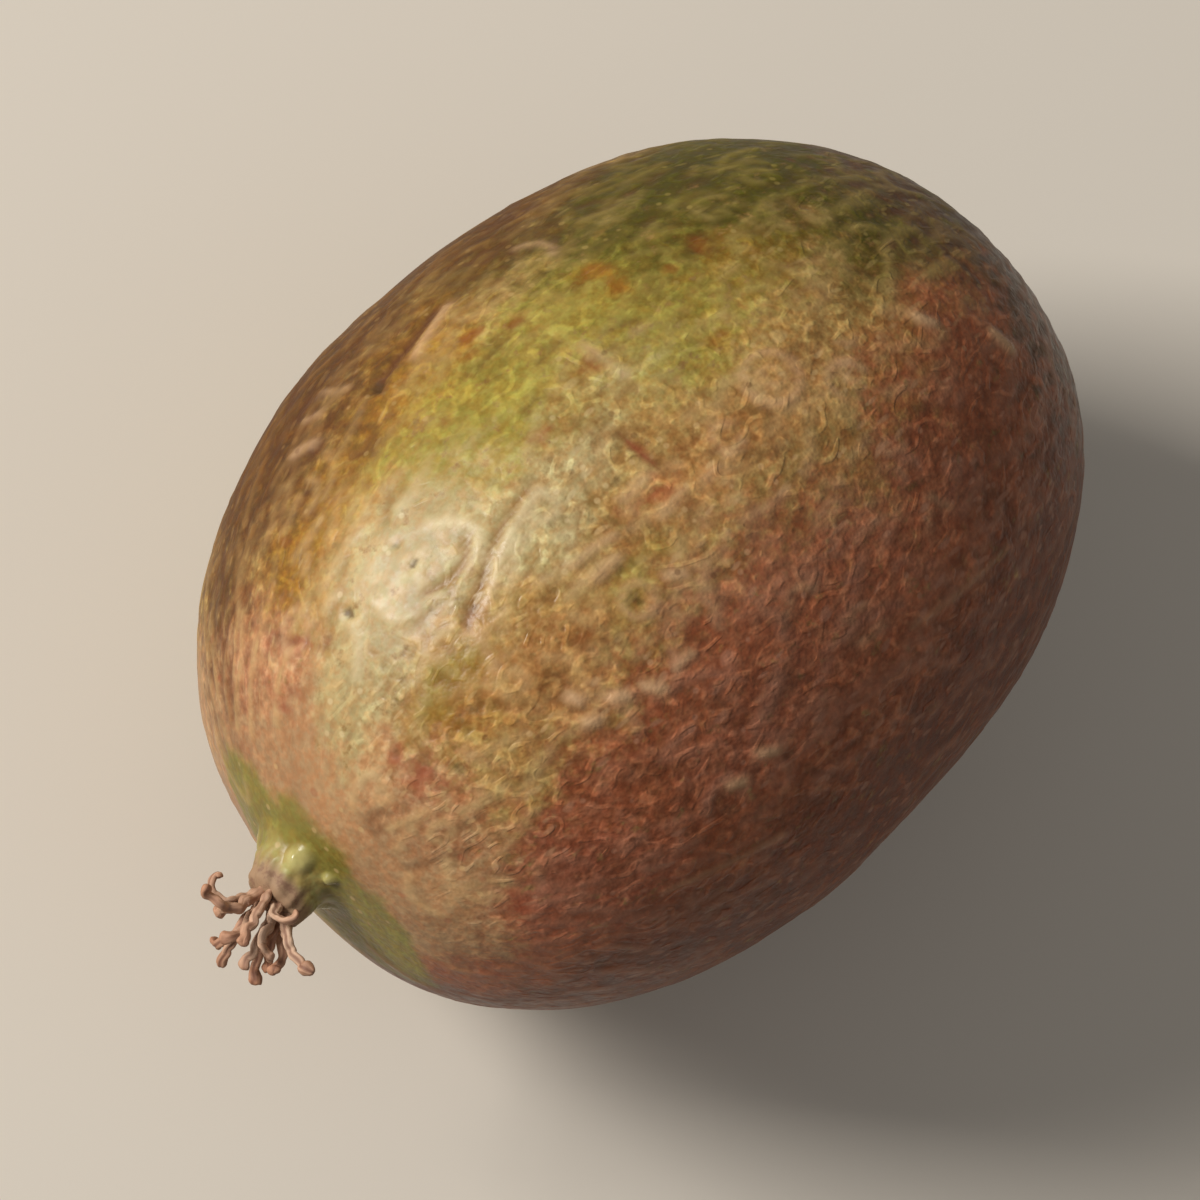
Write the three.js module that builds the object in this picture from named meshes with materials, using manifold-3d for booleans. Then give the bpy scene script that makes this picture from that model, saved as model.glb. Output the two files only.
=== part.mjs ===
// Kiwi berry, picked and lying on its side.
//
// The fruit is one solid: the skin, the short green neck at its crown and the corky
// scar where the stem came away. The dry styles, curled threads that the flower left
// behind, are slender pieces of their own that stand on the end of the neck.
//
// Millimetres, +Z up. The berry's length lies along X, with the crown towards -X and
// the stem scar towards +X. The origin is on the surface that the berry rests on,
// under the middle of its bounding box.

import * as THREE from 'three';
import { mergeVertices } from 'three/addons/utils/BufferGeometryUtils.js';
import Module from 'manifold-3d';

const wasm = await Module();
wasm.setup();

// ---------------------------------------------------------------------------
// Driving dimensions

const BODY_LENGTH = 31.4;     // from the root of the neck to the stem end
const BODY_WIDTH = 24.0;      // widest, across Y
const BODY_HEIGHT = 22.8;     // tallest, before the resting spot is flattened
const RESTING_DEPTH = 0.5;    // how much of the underside the resting spot takes

const FULLNESS = 2.26;        // 2 makes the body a true oval, and more fills out its ends
const TAPER = 0.03;           // the crown end is this much fuller and the stem end this much slimmer
const SHOULDER_SHIFT = -1.0;  // the body sits this far towards +Y of the neck
const BOW = 0.3;              // extra sideways bow of the body at mid length
const LOBE = 0.010;           // the section's faint three-lobed waviness, as a fraction

const NECK_RADIUS = 1.12;     // at the neck's end
const NECK_ROOT_RADIUS = 1.32;
const NECK_LENGTH = 1.6;
const NECK_DOME = 0.12;       // how far the middle of the neck's end stands out
const NECK_EDGE = 0.22;       // how far the rounding of that end runs back
const NECK_FLARE = 0.9;       // width of the hollow curve where neck meets shoulder
const NECK_LEAN = 0.25;       // the neck leans this much towards -Y per unit outwards

const SCAR_RADIUS = 1.5;      // stem scar
const SCAR_DEPTH = 0.4;

const STYLE_RADIUS = 0.18;    // of a dry style at its root
const STYLE_GAP = 0.06;       // clear space between a style's root and the neck

// Two rings of styles. ring is the distance of their roots from the neck's axis, lean
// the angle at which they leave it and bend how far they turn on the way to the tip.
const OUTER_STYLES = { count: 10, ring: 0.84, lean: 0.5, bend: 1.25, length: 1.9 };
const INNER_STYLES = { count: 4, ring: 0.36, lean: 0.25, bend: 1.1, length: 2.0 };
const STYLE_VARIETY = { turn: 0.14, lean: 0.3, bend: 1.2, swirl: 1.3, length: 0.45 };
const STYLE_HOOK = 1.4;       // how sharply a style bends towards its tip
const STYLE_SPREAD = 46093;   // picks a spread in which no two styles touch

// Facets
const AROUND = 48;            // round the body
const ALONG = 26;             // along the body's long curve
const NECK_STEPS = 4;         // over the neck's rounded end
const FLARE_STEPS = 5;        // along the flare
const STYLE_STEPS = 12;       // along a style
const STYLE_SIDES = 6;        // round a style

// ---------------------------------------------------------------------------
// Materials

const skinFinish = new THREE.MeshStandardMaterial({ color: 0x97784b, roughness: 0.5, metalness: 0 });
const styleFinish = new THREE.MeshStandardMaterial({ color: 0xa07b5f, roughness: 0.8, metalness: 0 });

// ---------------------------------------------------------------------------
// The fruit

const bodyRadius = BODY_WIDTH / 2;
const halfLength = BODY_LENGTH / 2;
const neckEnd = -halfLength - NECK_LENGTH;

// How far along the length the body's oval reaches at a given distance from its axis.
function ovalReach(radius) {
  return halfLength * (1 - (radius / bodyRadius) ** FULLNESS) ** (1 / FULLNESS);
}

// The angle along the oval at which it is this far from its axis.
function ovalAngle(radius) {
  return Math.asin((radius / bodyRadius) ** (FULLNESS / 2));
}

// The neck: a rounded end, a straight side and a hollow flare to the shoulder.
function neckProfile() {
  const points = [];
  for (let step = 0; step <= NECK_STEPS; step++) {
    const angle = Math.PI / 2 * step / NECK_STEPS;
    const reach = (NECK_DOME + NECK_EDGE) * Math.cos(angle);
    points.push(new THREE.Vector2(NECK_RADIUS * Math.sin(angle), neckEnd + NECK_EDGE - reach));
  }
  const flareRadius = NECK_ROOT_RADIUS + NECK_FLARE;
  const flareEnd = -ovalReach(flareRadius);
  const flare = new THREE.QuadraticBezierCurve(
    new THREE.Vector2(NECK_ROOT_RADIUS, flareEnd - NECK_FLARE),
    new THREE.Vector2(1.04 * NECK_ROOT_RADIUS, flareEnd - 0.1 * NECK_FLARE),
    new THREE.Vector2(flareRadius, flareEnd),
  );
  return points.concat(flare.getPoints(FLARE_STEPS));
}

// The body: an oval from the flare to the edge of the stem scar.
function bodyProfile() {
  const start = ovalAngle(NECK_ROOT_RADIUS + NECK_FLARE);
  const end = Math.PI - ovalAngle(SCAR_RADIUS);
  const points = [];
  for (let step = 1; step <= ALONG; step++) {
    const angle = start + (end - start) * step / ALONG;
    const radius = bodyRadius * Math.sin(angle) ** (2 / FULLNESS);
    points.push(new THREE.Vector2(radius, -Math.sign(Math.cos(angle)) * ovalReach(radius)));
  }
  return points;
}

// The stem scar: a shallow dish in the stem end.
function scarProfile() {
  const rim = ovalReach(SCAR_RADIUS);
  const dish = (part) => new THREE.Vector2(part * SCAR_RADIUS, rim - SCAR_DEPTH * (1 - part ** 4));
  return [0.85, 0.5, 0].map(dish);
}

// What makes a turned shape into a grown one: the neck leans, the body sits to one side
// of it, bows and tapers, and its section is lower than it is wide and has faint lobes.
function growUneven(geometry) {
  const position = geometry.attributes.position;
  const point = new THREE.Vector3();
  for (let i = 0; i < position.count; i++) {
    point.fromBufferAttribute(position, i);
    const { x } = point;
    const radius = Math.hypot(point.y, point.z);
    const angle = Math.atan2(point.z, point.y);
    const along = THREE.MathUtils.clamp((x + halfLength) / BODY_LENGTH, 0, 1);
    const midness = Math.sin(Math.PI * along);
    const shoulder = x < 0 ? THREE.MathUtils.smoothstep(radius, NECK_RADIUS, 4 * NECK_RADIUS) : 1;
    const lobes = 1 + LOBE * midness * Math.cos(3 * angle + 0.6);
    const girth = lobes * (1 - TAPER * shoulder * x / halfLength);
    const outwards = Math.max(0, -halfLength - x);
    const sideways = SHOULDER_SHIFT * shoulder + BOW * midness - NECK_LEAN * outwards;
    const flatness = THREE.MathUtils.lerp(1, BODY_HEIGHT / BODY_WIDTH, shoulder);
    position.setXYZ(i, x, girth * point.y + sideways, girth * flatness * point.z);
  }
  return geometry;
}

// A turned geometry as a manifold-3d solid: shared corners merged, and the slivers
// of no area on the axis left out.
function toSolid(geometry) {
  const bare = geometry.clone();
  bare.deleteAttribute('normal');
  bare.deleteAttribute('uv');
  const merged = mergeVertices(bare, 1e-4);
  const index = merged.index.array;
  const corners = [];
  for (let i = 0; i < index.length; i += 3) {
    const [a, b, c] = index.slice(i, i + 3);
    if (a !== b && b !== c && c !== a) corners.push(a, b, c);
  }
  return new wasm.Manifold(new wasm.Mesh({
    numProp: 3,
    vertProperties: new Float32Array(merged.attributes.position.array),
    triVerts: new Uint32Array(corners),
  }));
}

function toGeometry(solid) {
  const { vertProperties, triVerts } = solid.getMesh();
  const geometry = new THREE.BufferGeometry();
  geometry.setAttribute('position', new THREE.BufferAttribute(new Float32Array(vertProperties), 3));
  geometry.setIndex(new THREE.BufferAttribute(new Uint32Array(triVerts), 1));
  geometry.computeVertexNormals();
  return geometry;
}

// Height of the body's axis over the resting surface.
const axisHeight = BODY_HEIGHT / 2 - RESTING_DEPTH;

function berryGeometry() {
  const profile = [...neckProfile(), ...bodyProfile(), ...scarProfile()];
  const turned = new THREE.LatheGeometry(profile, AROUND);
  turned.rotateZ(-Math.PI / 2);
  const grown = growUneven(turned);
  const below = new THREE.BoxGeometry(2 * BODY_LENGTH, 2 * BODY_WIDTH, BODY_HEIGHT);
  below.translate(0, 0, -axisHeight - BODY_HEIGHT / 2);
  const geometry = toGeometry(toSolid(grown).subtract(toSolid(below)));
  return geometry.translate(0, 0, axisHeight);
}

// ---------------------------------------------------------------------------
// The dry styles

// An even but irregular-looking spread of values from -1 to 1.
function scatter(index, kind) {
  const value = Math.sin(12.9898 * (index + 1) + 78.233 * kind) * 43758.5453;
  return 2 * (value - Math.floor(value)) - 1;
}

// The middle line of one style. It leaves the neck's end at a lean, bends over as it
// goes, and turns a little round the neck.
function stylePath(index) {
  const outer = index < OUTER_STYLES.count;
  const ring = outer ? OUTER_STYLES : INNER_STYLES;
  const place = outer ? index : index - OUTER_STYLES.count + 0.5;
  const vary = (kind) => scatter(index, STYLE_SPREAD + kind);
  const startTurn = 2 * Math.PI * place / ring.count + STYLE_VARIETY.turn * vary(1);
  const startLean = ring.lean + STYLE_VARIETY.lean * vary(2);
  const bend = ring.bend + STYLE_VARIETY.bend * vary(3);
  const swirl = STYLE_VARIETY.swirl * vary(4);
  const length = ring.length + STYLE_VARIETY.length * vary(5);

  const axis = new THREE.Vector3(-1, -NECK_LEAN, 0).normalize();
  const across = new THREE.Vector3(-NECK_LEAN, 1, 0).normalize();
  const up = new THREE.Vector3(0, 0, 1);
  const spoke = (turn) => across.clone().multiplyScalar(Math.cos(turn)).addScaledVector(up, Math.sin(turn));

  const root = new THREE.Vector3(neckEnd - NECK_DOME, -NECK_LEAN * NECK_LENGTH, axisHeight)
    .addScaledVector(axis, STYLE_GAP + STYLE_RADIUS)
    .addScaledVector(spoke(startTurn), ring.ring);
  const points = [root];
  for (let step = 1; step <= STYLE_STEPS; step++) {
    const part = (step - 0.5) / STYLE_STEPS;
    const lean = startLean + STYLE_HOOK * bend * part ** 2;
    const turn = startTurn + swirl * part;
    const heading = axis.clone().multiplyScalar(Math.cos(lean)).addScaledVector(spoke(turn), Math.sin(lean));
    points.push(points.at(-1).clone().addScaledVector(heading, length / STYLE_STEPS));
  }
  return new THREE.CatmullRomCurve3(points);
}

// Thickness along a style: full at the root, a little thinner in the middle, a small knob at the tip.
function styleThickness(part) {
  const knob = Math.exp(-(((part - 0.92) / 0.07) ** 2));
  return 1 - 0.14 * THREE.MathUtils.smoothstep(part, 0, 0.6) + 0.16 * knob;
}

function styleGeometry(index) {
  const path = stylePath(index);
  const section = new THREE.Shape();
  for (let side = 0; side < STYLE_SIDES; side++) {
    const angle = 2 * Math.PI * side / STYLE_SIDES;
    const corner = [STYLE_RADIUS * Math.cos(angle), STYLE_RADIUS * Math.sin(angle)];
    if (side === 0) section.moveTo(...corner);
    else section.lineTo(...corner);
  }
  section.closePath();
  const geometry = new THREE.ExtrudeGeometry(section, {
    steps: STYLE_STEPS,
    bevelEnabled: false,
    extrudePath: path,
  });

  // Each ring of corners is scaled about its own point on the path.
  const centres = path.getSpacedPoints(STYLE_STEPS);
  const position = geometry.attributes.position;
  const corner = new THREE.Vector3();
  for (let i = 0; i < position.count; i++) {
    corner.fromBufferAttribute(position, i);
    const distances = centres.map((centre) => centre.distanceTo(corner));
    const ring = distances.indexOf(Math.min(...distances));
    const thickness = styleThickness(ring / STYLE_STEPS);
    corner.sub(centres[ring]).multiplyScalar(thickness).add(centres[ring]);
    position.setXYZ(i, corner.x, corner.y, corner.z);
  }
  return geometry;
}

// ---------------------------------------------------------------------------
// The whole berry

const kiwiBerry = new THREE.Group();

const berry = new THREE.Mesh(berryGeometry(), skinFinish);
berry.name = 'berry';
kiwiBerry.add(berry);

for (let index = 0; index < OUTER_STYLES.count + INNER_STYLES.count; index++) {
  const style = new THREE.Mesh(styleGeometry(index), styleFinish.clone());
  style.name = `dry_style_${String(index + 1).padStart(2, '0')}`;
  kiwiBerry.add(style);
}

// The middle of the bounding box comes over the origin.
const middle = new THREE.Box3().setFromObject(kiwiBerry).getCenter(new THREE.Vector3());
kiwiBerry.position.set(-middle.x, -middle.y, 0);

export default kiwiBerry;
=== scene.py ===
# %% [markdown]
# # A kiwi berry, picked and lying on its side
#
# A kiwi berry is a small, smooth cousin of the kiwi fruit. Its skin is thin and waxy, yellow-green where
# it hung in the shade and red-brown where the sun reached it, with many fine pale wrinkles. At the crown
# a short green neck carries the dry, curled styles of the flower. At the other end is a corky scar where
# the stem came away.
#
# The model is made in this order: the stage and camera, the bare shape of the fruit, its relief, its
# colours, and last the styles. Lengths are in millimetres until a mesh is made, and Blender's in metres.

# %% Load the frame
import math
from types import SimpleNamespace

import bpy
import numpy as np
from mathutils import Matrix, Vector, noise


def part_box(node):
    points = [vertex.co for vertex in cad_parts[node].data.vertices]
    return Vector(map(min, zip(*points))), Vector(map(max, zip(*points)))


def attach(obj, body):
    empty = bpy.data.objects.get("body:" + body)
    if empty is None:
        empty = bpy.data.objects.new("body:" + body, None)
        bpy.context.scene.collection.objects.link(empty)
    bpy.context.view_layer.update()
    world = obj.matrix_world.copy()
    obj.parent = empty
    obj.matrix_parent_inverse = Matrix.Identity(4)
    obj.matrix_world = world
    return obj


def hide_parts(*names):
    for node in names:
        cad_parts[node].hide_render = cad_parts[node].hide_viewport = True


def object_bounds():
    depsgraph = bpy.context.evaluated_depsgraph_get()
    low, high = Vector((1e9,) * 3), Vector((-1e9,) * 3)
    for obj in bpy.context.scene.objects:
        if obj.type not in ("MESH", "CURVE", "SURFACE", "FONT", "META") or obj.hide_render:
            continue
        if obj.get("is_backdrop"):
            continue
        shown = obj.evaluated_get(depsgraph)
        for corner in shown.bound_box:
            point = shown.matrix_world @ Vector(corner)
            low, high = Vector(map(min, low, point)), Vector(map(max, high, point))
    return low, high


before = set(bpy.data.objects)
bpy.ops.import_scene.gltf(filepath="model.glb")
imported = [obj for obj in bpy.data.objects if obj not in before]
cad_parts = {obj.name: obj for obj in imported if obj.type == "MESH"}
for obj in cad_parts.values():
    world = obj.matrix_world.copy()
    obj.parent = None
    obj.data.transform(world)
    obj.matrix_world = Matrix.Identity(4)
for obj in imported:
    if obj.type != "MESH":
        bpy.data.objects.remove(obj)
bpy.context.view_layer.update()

MM = 0.001
berry_low, berry_high = (np.array(corner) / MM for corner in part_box("berry"))
print("berry box, mm:", berry_low.round(2), berry_high.round(2))

# %% [markdown]
# ## Colours and recipes made of nodes
#
# A material in Blender is a tree of nodes. A small helper adds one node a call and hands back its output, so
# a recipe reads as a row of sums, and a texture that is used twice is written once.

# %% Colour helper
def paint(red, green, blue):
    """A colour as a painter would mix it on screen, 0 to 255, turned into the linear light that nodes use."""
    def to_linear(value):
        value /= 255
        return value / 12.92 if value <= 0.04045 else ((value + 0.055) / 1.055) ** 2.4
    return (to_linear(red), to_linear(green), to_linear(blue), 1.0)


print("half-bright grey on screen is, in linear light:", round(paint(128, 128, 128)[0], 3))

# %% Node helper
class Recipe:
    """Writes nodes into one tree. Each call adds a node and returns the output to feed to the next."""

    def __init__(self, tree):
        self.tree = tree

    def add(self, kind, inputs, output=0, **settings):
        node = self.tree.nodes.new(kind)
        for setting, value in settings.items():
            setattr(node, setting, value)
        for socket, value in inputs.items():
            if isinstance(value, bpy.types.NodeSocket):
                self.feed(node, socket, value)
            else:
                node.inputs[socket].default_value = value
        return node.outputs[output]

    def feed(self, node, socket, value):
        self.tree.links.new(value, node.inputs[socket])

    def stored(self, name, output="Fac"):
        """A value, or with output "Vector" a vector, that is stored with the mesh."""
        return self.add("ShaderNodeAttribute", {}, output, attribute_name=name)

    def math(self, operation, a, b=0.0, clamp=False):
        return self.add("ShaderNodeMath", {0: a, 1: b}, operation=operation, use_clamp=clamp)

    def plus(self, a, b, clamp=False):
        return self.math("ADD", a, b, clamp)

    def minus(self, a, b):
        return self.math("SUBTRACT", a, b)

    def times(self, a, b, clamp=False):
        return self.math("MULTIPLY", a, b, clamp)

    def vector_math(self, operation, inputs):
        return self.add("ShaderNodeVectorMath", inputs, operation=operation)

    def noise(self, vector, per_mm, detail=2.0, rough=0.5, output=0):
        """Noise about 0.5, with this many features a mm."""
        return self.add("ShaderNodeTexNoise", {"Vector": vector, "Scale": per_mm, "Detail": detail,
                                               "Roughness": rough}, output)

    def ramp(self, value, low, high, start=0.0, end=1.0):
        """start below low, end above high, and a smooth ramp between."""
        return self.add("ShaderNodeMapRange", {"Value": value, "From Min": low, "From Max": high,
                                               "To Min": start, "To Max": end},
                        interpolation_type="SMOOTHSTEP")

    def blend(self, factor, first, second, mode="MIX"):
        """One colour over another."""
        return self.add("ShaderNodeMix", {0: factor, 6: first, 7: second}, 2,
                        data_type="RGBA", blend_type=mode)

    def tint(self, colour, value, low, high):
        """Multiplies a colour by low where the value is 0 and by high where it is 1."""
        return self.blend(1.0, colour, self.blend(value, (*low, 1), (*high, 1)), "MULTIPLY")

    def bump(self, height, metres):
        """Lets a height of 0 to 1 tilt the surface as if it stood this high."""
        return self.add("ShaderNodeBump", {"Height": height, "Strength": 1.0, "Distance": metres}, "Normal")


print("steps of a recipe:", ", ".join(step for step in vars(Recipe) if not step.startswith("_")))


# %% Material helper
def new_material(name):
    """A material, its shader node and a recipe that writes nodes into it."""
    material = bpy.data.materials.new(name)
    material.use_nodes = True
    return material, material.node_tree.nodes["Principled BSDF"], Recipe(material.node_tree)


# %% [markdown]
# ## Stage
#
# A fruit this small is easiest to read on a plain, pale, matt surface. The floor is wide enough that its
# edge is never seen beside the berry. It throws less light back than its own colour would, so that the
# berry's shaded side stays deep: only what is seen of the floor, straight or mirrored, is pale. The light
# is one soft lamp low on one side, as from a window, which rakes across the skin and shows its wrinkles,
# and a weak lamp opposite, so that the shaded side keeps its colour.

# %% Floor
FLOOR_SIZE = 6.0
FLOOR_DROP = 0.00002     # keeps the floor just clear of the flat resting spot
FLOOR_SEEN, FLOOR_UNSEEN = paint(232, 223, 210), paint(158, 142, 120)

bpy.ops.mesh.primitive_plane_add(size=FLOOR_SIZE, location=(0, 0, -FLOOR_DROP))
floor = bpy.context.object
floor.name = "floor"
floor_finish, floor_shader, recipe = new_material("pale matt table")
rays = recipe.add("ShaderNodeLightPath", {}).node.outputs
seen = recipe.math("MAXIMUM", rays["Is Camera Ray"], rays["Is Glossy Ray"])
seen = recipe.math("MAXIMUM", seen, rays["Is Transmission Ray"])
recipe.feed(floor_shader, "Base Color", recipe.blend(seen, FLOOR_UNSEEN, FLOOR_SEEN))
floor_shader.inputs["Roughness"].default_value = 0.9
floor_shader.inputs["Specular IOR Level"].default_value = 0.15
floor.data.materials.append(floor_finish)
print("floor:", FLOOR_SIZE, "m square")
floor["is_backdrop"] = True

# %% Camera
# The view looks down, tipped towards the crown, so that the crown end is a little nearer. The berry lies
# slanting in it, with the crown at the lower left. A long lens from well above keeps its oval true.
SLANT = math.radians(43.5)       # how steeply the fruit's long axis climbs from left to right
TIP = math.radians(20)           # how far the view leans from straight down towards the crown
CAMERA_DISTANCE = 0.6
VIEW_WIDTH = 0.039

whole_low, whole_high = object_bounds()
middle = (whole_low + whole_high) / 2
to_camera = Vector((-math.sin(TIP), 0, math.cos(TIP)))
stemwards = Vector((math.cos(TIP), 0, math.sin(TIP)))      # the fruit's long axis, as seen
sideways = Vector((0, 1, 0))
right = math.cos(SLANT) * stemwards - math.sin(SLANT) * sideways
up = math.sin(SLANT) * stemwards + math.cos(SLANT) * sideways

camera = bpy.data.objects.new("camera", bpy.data.cameras.new("camera"))
bpy.context.scene.collection.objects.link(camera)
camera.rotation_euler = Matrix((right, up, to_camera)).transposed().to_euler()
camera.location = middle + CAMERA_DISTANCE * to_camera
camera.data.lens = camera.data.sensor_width * CAMERA_DISTANCE / VIEW_WIDTH
bpy.context.scene.camera = camera
print(f"view: {VIEW_WIDTH / MM:.0f} mm wide, lens {camera.data.lens:.0f} mm")


# %% Lamps
def soft_lamp(name, turn, elevation, distance, size, strength, tint):
    """A square lamp that faces the berry. strength is what it gives a white surface that faces it."""
    lamp = bpy.data.objects.new(name, bpy.data.lights.new(name, "AREA"))
    bpy.context.scene.collection.objects.link(lamp)
    turn, elevation = math.radians(turn), math.radians(elevation)
    towards = Vector((math.cos(turn) * math.cos(elevation), math.sin(turn) * math.cos(elevation),
                      math.sin(elevation)))
    lamp.location = middle + distance * towards
    lamp.rotation_euler = towards.to_track_quat("Z", "Y").to_euler()
    lamp.data.size = size
    lamp.data.energy = strength * (math.pi * distance) ** 2
    lamp.data.color = tint
    print(f"{name}: {lamp.data.energy:.3f} W, {size} m square")


soft_lamp("window light", turn=122, elevation=31, distance=0.5, size=0.18, strength=1.14,
          tint=(1.0, 0.97, 0.92))
soft_lamp("fill light", turn=-60, elevation=45, distance=0.8, size=0.6, strength=0.04,
          tint=(0.96, 0.98, 1.0))

# %% World
# The world gives the shadows an even, weak light. Where the camera looks past the floor it sees a pale
# backdrop instead, which lights nothing.
world = bpy.data.worlds.new("studio")
bpy.context.scene.world = world
world.use_nodes = True
recipe = Recipe(world.node_tree)
room = world.node_tree.nodes["Background"]
room.inputs["Color"].default_value = (1.0, 0.99, 0.97, 1.0)
room.inputs["Strength"].default_value = 0.18
backdrop = recipe.add("ShaderNodeBackground", {"Color": paint(222, 212, 198)})
camera_ray = recipe.add("ShaderNodeLightPath", {}, "Is Camera Ray")
choice = recipe.add("ShaderNodeMixShader", {0: camera_ray, 1: room.outputs[0], 2: backdrop})
recipe.feed(world.node_tree.nodes["World Output"], "Surface", choice)
bpy.context.scene.view_settings.view_transform = "Standard"
print("light of the room:", round(room.inputs["Strength"].default_value, 2))

# %% [markdown]
# ## The shape of the fruit
#
# The berry is nearly an oval turned on its long axis, so it starts as a profile: a list of points, each
# with a place along the axis and a distance from it. The profile runs over the neck's rounded end, down
# its side, through a hollow flare to the shoulder, along the body's oval, and into the dish of the stem
# scar. The oval is a little fuller than an ellipse. It could be sculpted from a sphere, but a profile keeps
# the rows of faces lengthwise and even, which suits the skin's lengthwise grain.

# %% Sizes of the fruit
BODY_LENGTH, BODY_WIDTH, BODY_HEIGHT = 31.4, 24.0, 22.8
FULLNESS = 2.26          # 2 would be an ellipse
TAPER = 0.03             # how much slimmer the stem half is than the crown half
RESTING_DEPTH = 0.5      # how much of the underside the resting spot takes
SHOULDER_SHIFT = -1.0    # the body sits this far to one side of the neck
BOW = 0.3                # extra sideways bow of the body at mid length
LOBE = 0.010             # faint three-lobed waviness of the section
NECK_RADIUS, NECK_ROOT_RADIUS, NECK_LENGTH = 1.12, 1.32, 1.6
NECK_DOME, NECK_EDGE = 0.12, 0.22
NECK_FLARE, NECK_LEAN = 0.9, 0.25
SCAR_RADIUS, SCAR_DEPTH = 1.5, 0.4

HALF_LENGTH, BODY_RADIUS = BODY_LENGTH / 2, BODY_WIDTH / 2
NECK_END = -HALF_LENGTH - NECK_LENGTH
AXIS_HEIGHT = BODY_HEIGHT / 2 - RESTING_DEPTH
COLUMNS = 410            # faces round the berry
ROWS = {"neck end": 14, "neck side": 11, "flare": 12, "body": 191, "scar": 11}
print("axis of the fruit, mm above the table:", AXIS_HEIGHT)


def smoothstep(low, high, value):
    """0 below low, 1 above high, and a smooth ramp between. low may be the larger."""
    part = np.clip((np.asarray(value, float) - low) / (high - low), 0, 1)
    return part * part * (3 - 2 * part)


def oval_reach(radius):
    """How far along the axis the body's oval reaches at this distance from it."""
    return HALF_LENGTH * (1 - (radius / BODY_RADIUS) ** FULLNESS) ** (1 / FULLNESS)


# %% Profile of the fruit
def profile_of_fruit():
    """Rows of (place along the axis, distance from it), from the neck's tip to the middle of the scar."""
    quarter = np.linspace(0, math.pi / 2, ROWS["neck end"] + 1)[1:]
    neck_end = np.stack([NECK_END + NECK_EDGE - (NECK_DOME + NECK_EDGE) * np.cos(quarter),
                         NECK_RADIUS * np.sin(quarter)], 1)
    flare_radius = NECK_ROOT_RADIUS + NECK_FLARE
    flare_end = -oval_reach(flare_radius)
    corners = np.array([(flare_end - NECK_FLARE, NECK_ROOT_RADIUS),
                        (flare_end - 0.1 * NECK_FLARE, 1.04 * NECK_ROOT_RADIUS),
                        (flare_end, flare_radius)])
    side = np.linspace(neck_end[-1], corners[0], ROWS["neck side"] + 1)[1:]
    t = np.linspace(0, 1, ROWS["flare"] + 1)[1:, None]
    flare = (1 - t) ** 2 * corners[0] + 2 * t * (1 - t) * corners[1] + t ** 2 * corners[2]
    start, end = (math.asin((radius / BODY_RADIUS) ** (FULLNESS / 2))
                  for radius in (flare_radius, SCAR_RADIUS))
    angle = np.linspace(start, math.pi - end, ROWS["body"] + 1)[1:]
    radius = BODY_RADIUS * np.sin(angle) ** (2 / FULLNESS)
    body = np.stack([-np.sign(np.cos(angle)) * oval_reach(np.minimum(radius, BODY_RADIUS)), radius], 1)
    part = np.linspace(1, 0, ROWS["scar"] + 2)[1:-1]
    scar = np.stack([oval_reach(SCAR_RADIUS) - SCAR_DEPTH * (1 - part ** 4), part * SCAR_RADIUS], 1)
    return np.concatenate([neck_end, side, flare, body, scar])


profile = profile_of_fruit()
print("profile rows:", len(profile), "faces round:", COLUMNS)


# %% [markdown]
# A turned oval looks machined. The real fruit grew: its neck leans, the body sits to one side of the neck
# and bows a little, the section is lower than it is wide, and it is very faintly lobed. A lattice could
# bend the finished mesh. A rule for where a point of the turned shape ends up does it here, because the same
# rule can later say where a mark on the skin lies.

# %% Rule for the grown shape
def grown(x, radius, turn):
    """Points of the grown fruit, in its own frame, for a place x along the axis, a distance and a turn."""
    along = np.clip((x + HALF_LENGTH) / BODY_LENGTH, 0, 1)
    midness = np.sin(math.pi * along)
    shoulder = np.where(x < 0, smoothstep(NECK_RADIUS, 4 * NECK_RADIUS, radius), 1)
    girth = (1 + LOBE * midness * np.cos(3 * turn + 0.6)) * (1 - TAPER * shoulder * x / HALF_LENGTH)
    outwards = np.maximum(0, -HALF_LENGTH - x)
    flatness = 1 + (BODY_HEIGHT / BODY_WIDTH - 1) * shoulder
    return np.stack([x + 0 * turn,
                     girth * radius * np.cos(turn) + SHOULDER_SHIFT * shoulder + BOW * midness
                     - NECK_LEAN * outwards,
                     girth * flatness * radius * np.sin(turn) + AXIS_HEIGHT], -1)


print("top of the body half way along, mm:", grown(0.0, BODY_RADIUS, math.pi / 2).round(2))

# %% The grown shape's points
turns = np.arange(COLUMNS) * 2 * math.pi / COLUMNS
grid_x, grid_turn = np.meshgrid(profile[:, 0], turns, indexing="ij")
grid_degrees = np.degrees(grid_turn)
grid_radius = np.repeat(profile[:, 1:2], COLUMNS, axis=1)
grid = grown(grid_x, grid_radius, grid_turn)

# The grown shape's far corner is brought to the far corner of the berry in the frame.
offset = berry_high - grid.reshape(-1, 3).max(0)
offset[2] = 0
grid += offset
print("moved into the frame by, mm:", offset.round(3))


# %% Wandering values
def wander(points, size, seed):
    """A smooth random value from about -1 to 1 at each point, with features of this size in mm."""
    shift = Vector((17.3 * seed, -9.1 * seed, 5.7 * seed))
    flat = np.asarray(points, float).reshape(-1, 3) / size
    values = [noise.noise(Vector(point) + shift) for point in flat]
    return 1.6 * np.array(values).reshape(np.shape(points)[:-1])


print("four wandering values, 1 mm apart:", wander([(place, 0, 0) for place in range(4)], 3, 0).round(2))

# %% [markdown]
# ## Closed meshes from rows of points
#
# The fruit and the styles are all made the same way: rings of points, joined by four-sided faces, with a
# fan of triangles closing each end. One helper makes them all, so every piece is a closed solid.

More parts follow.
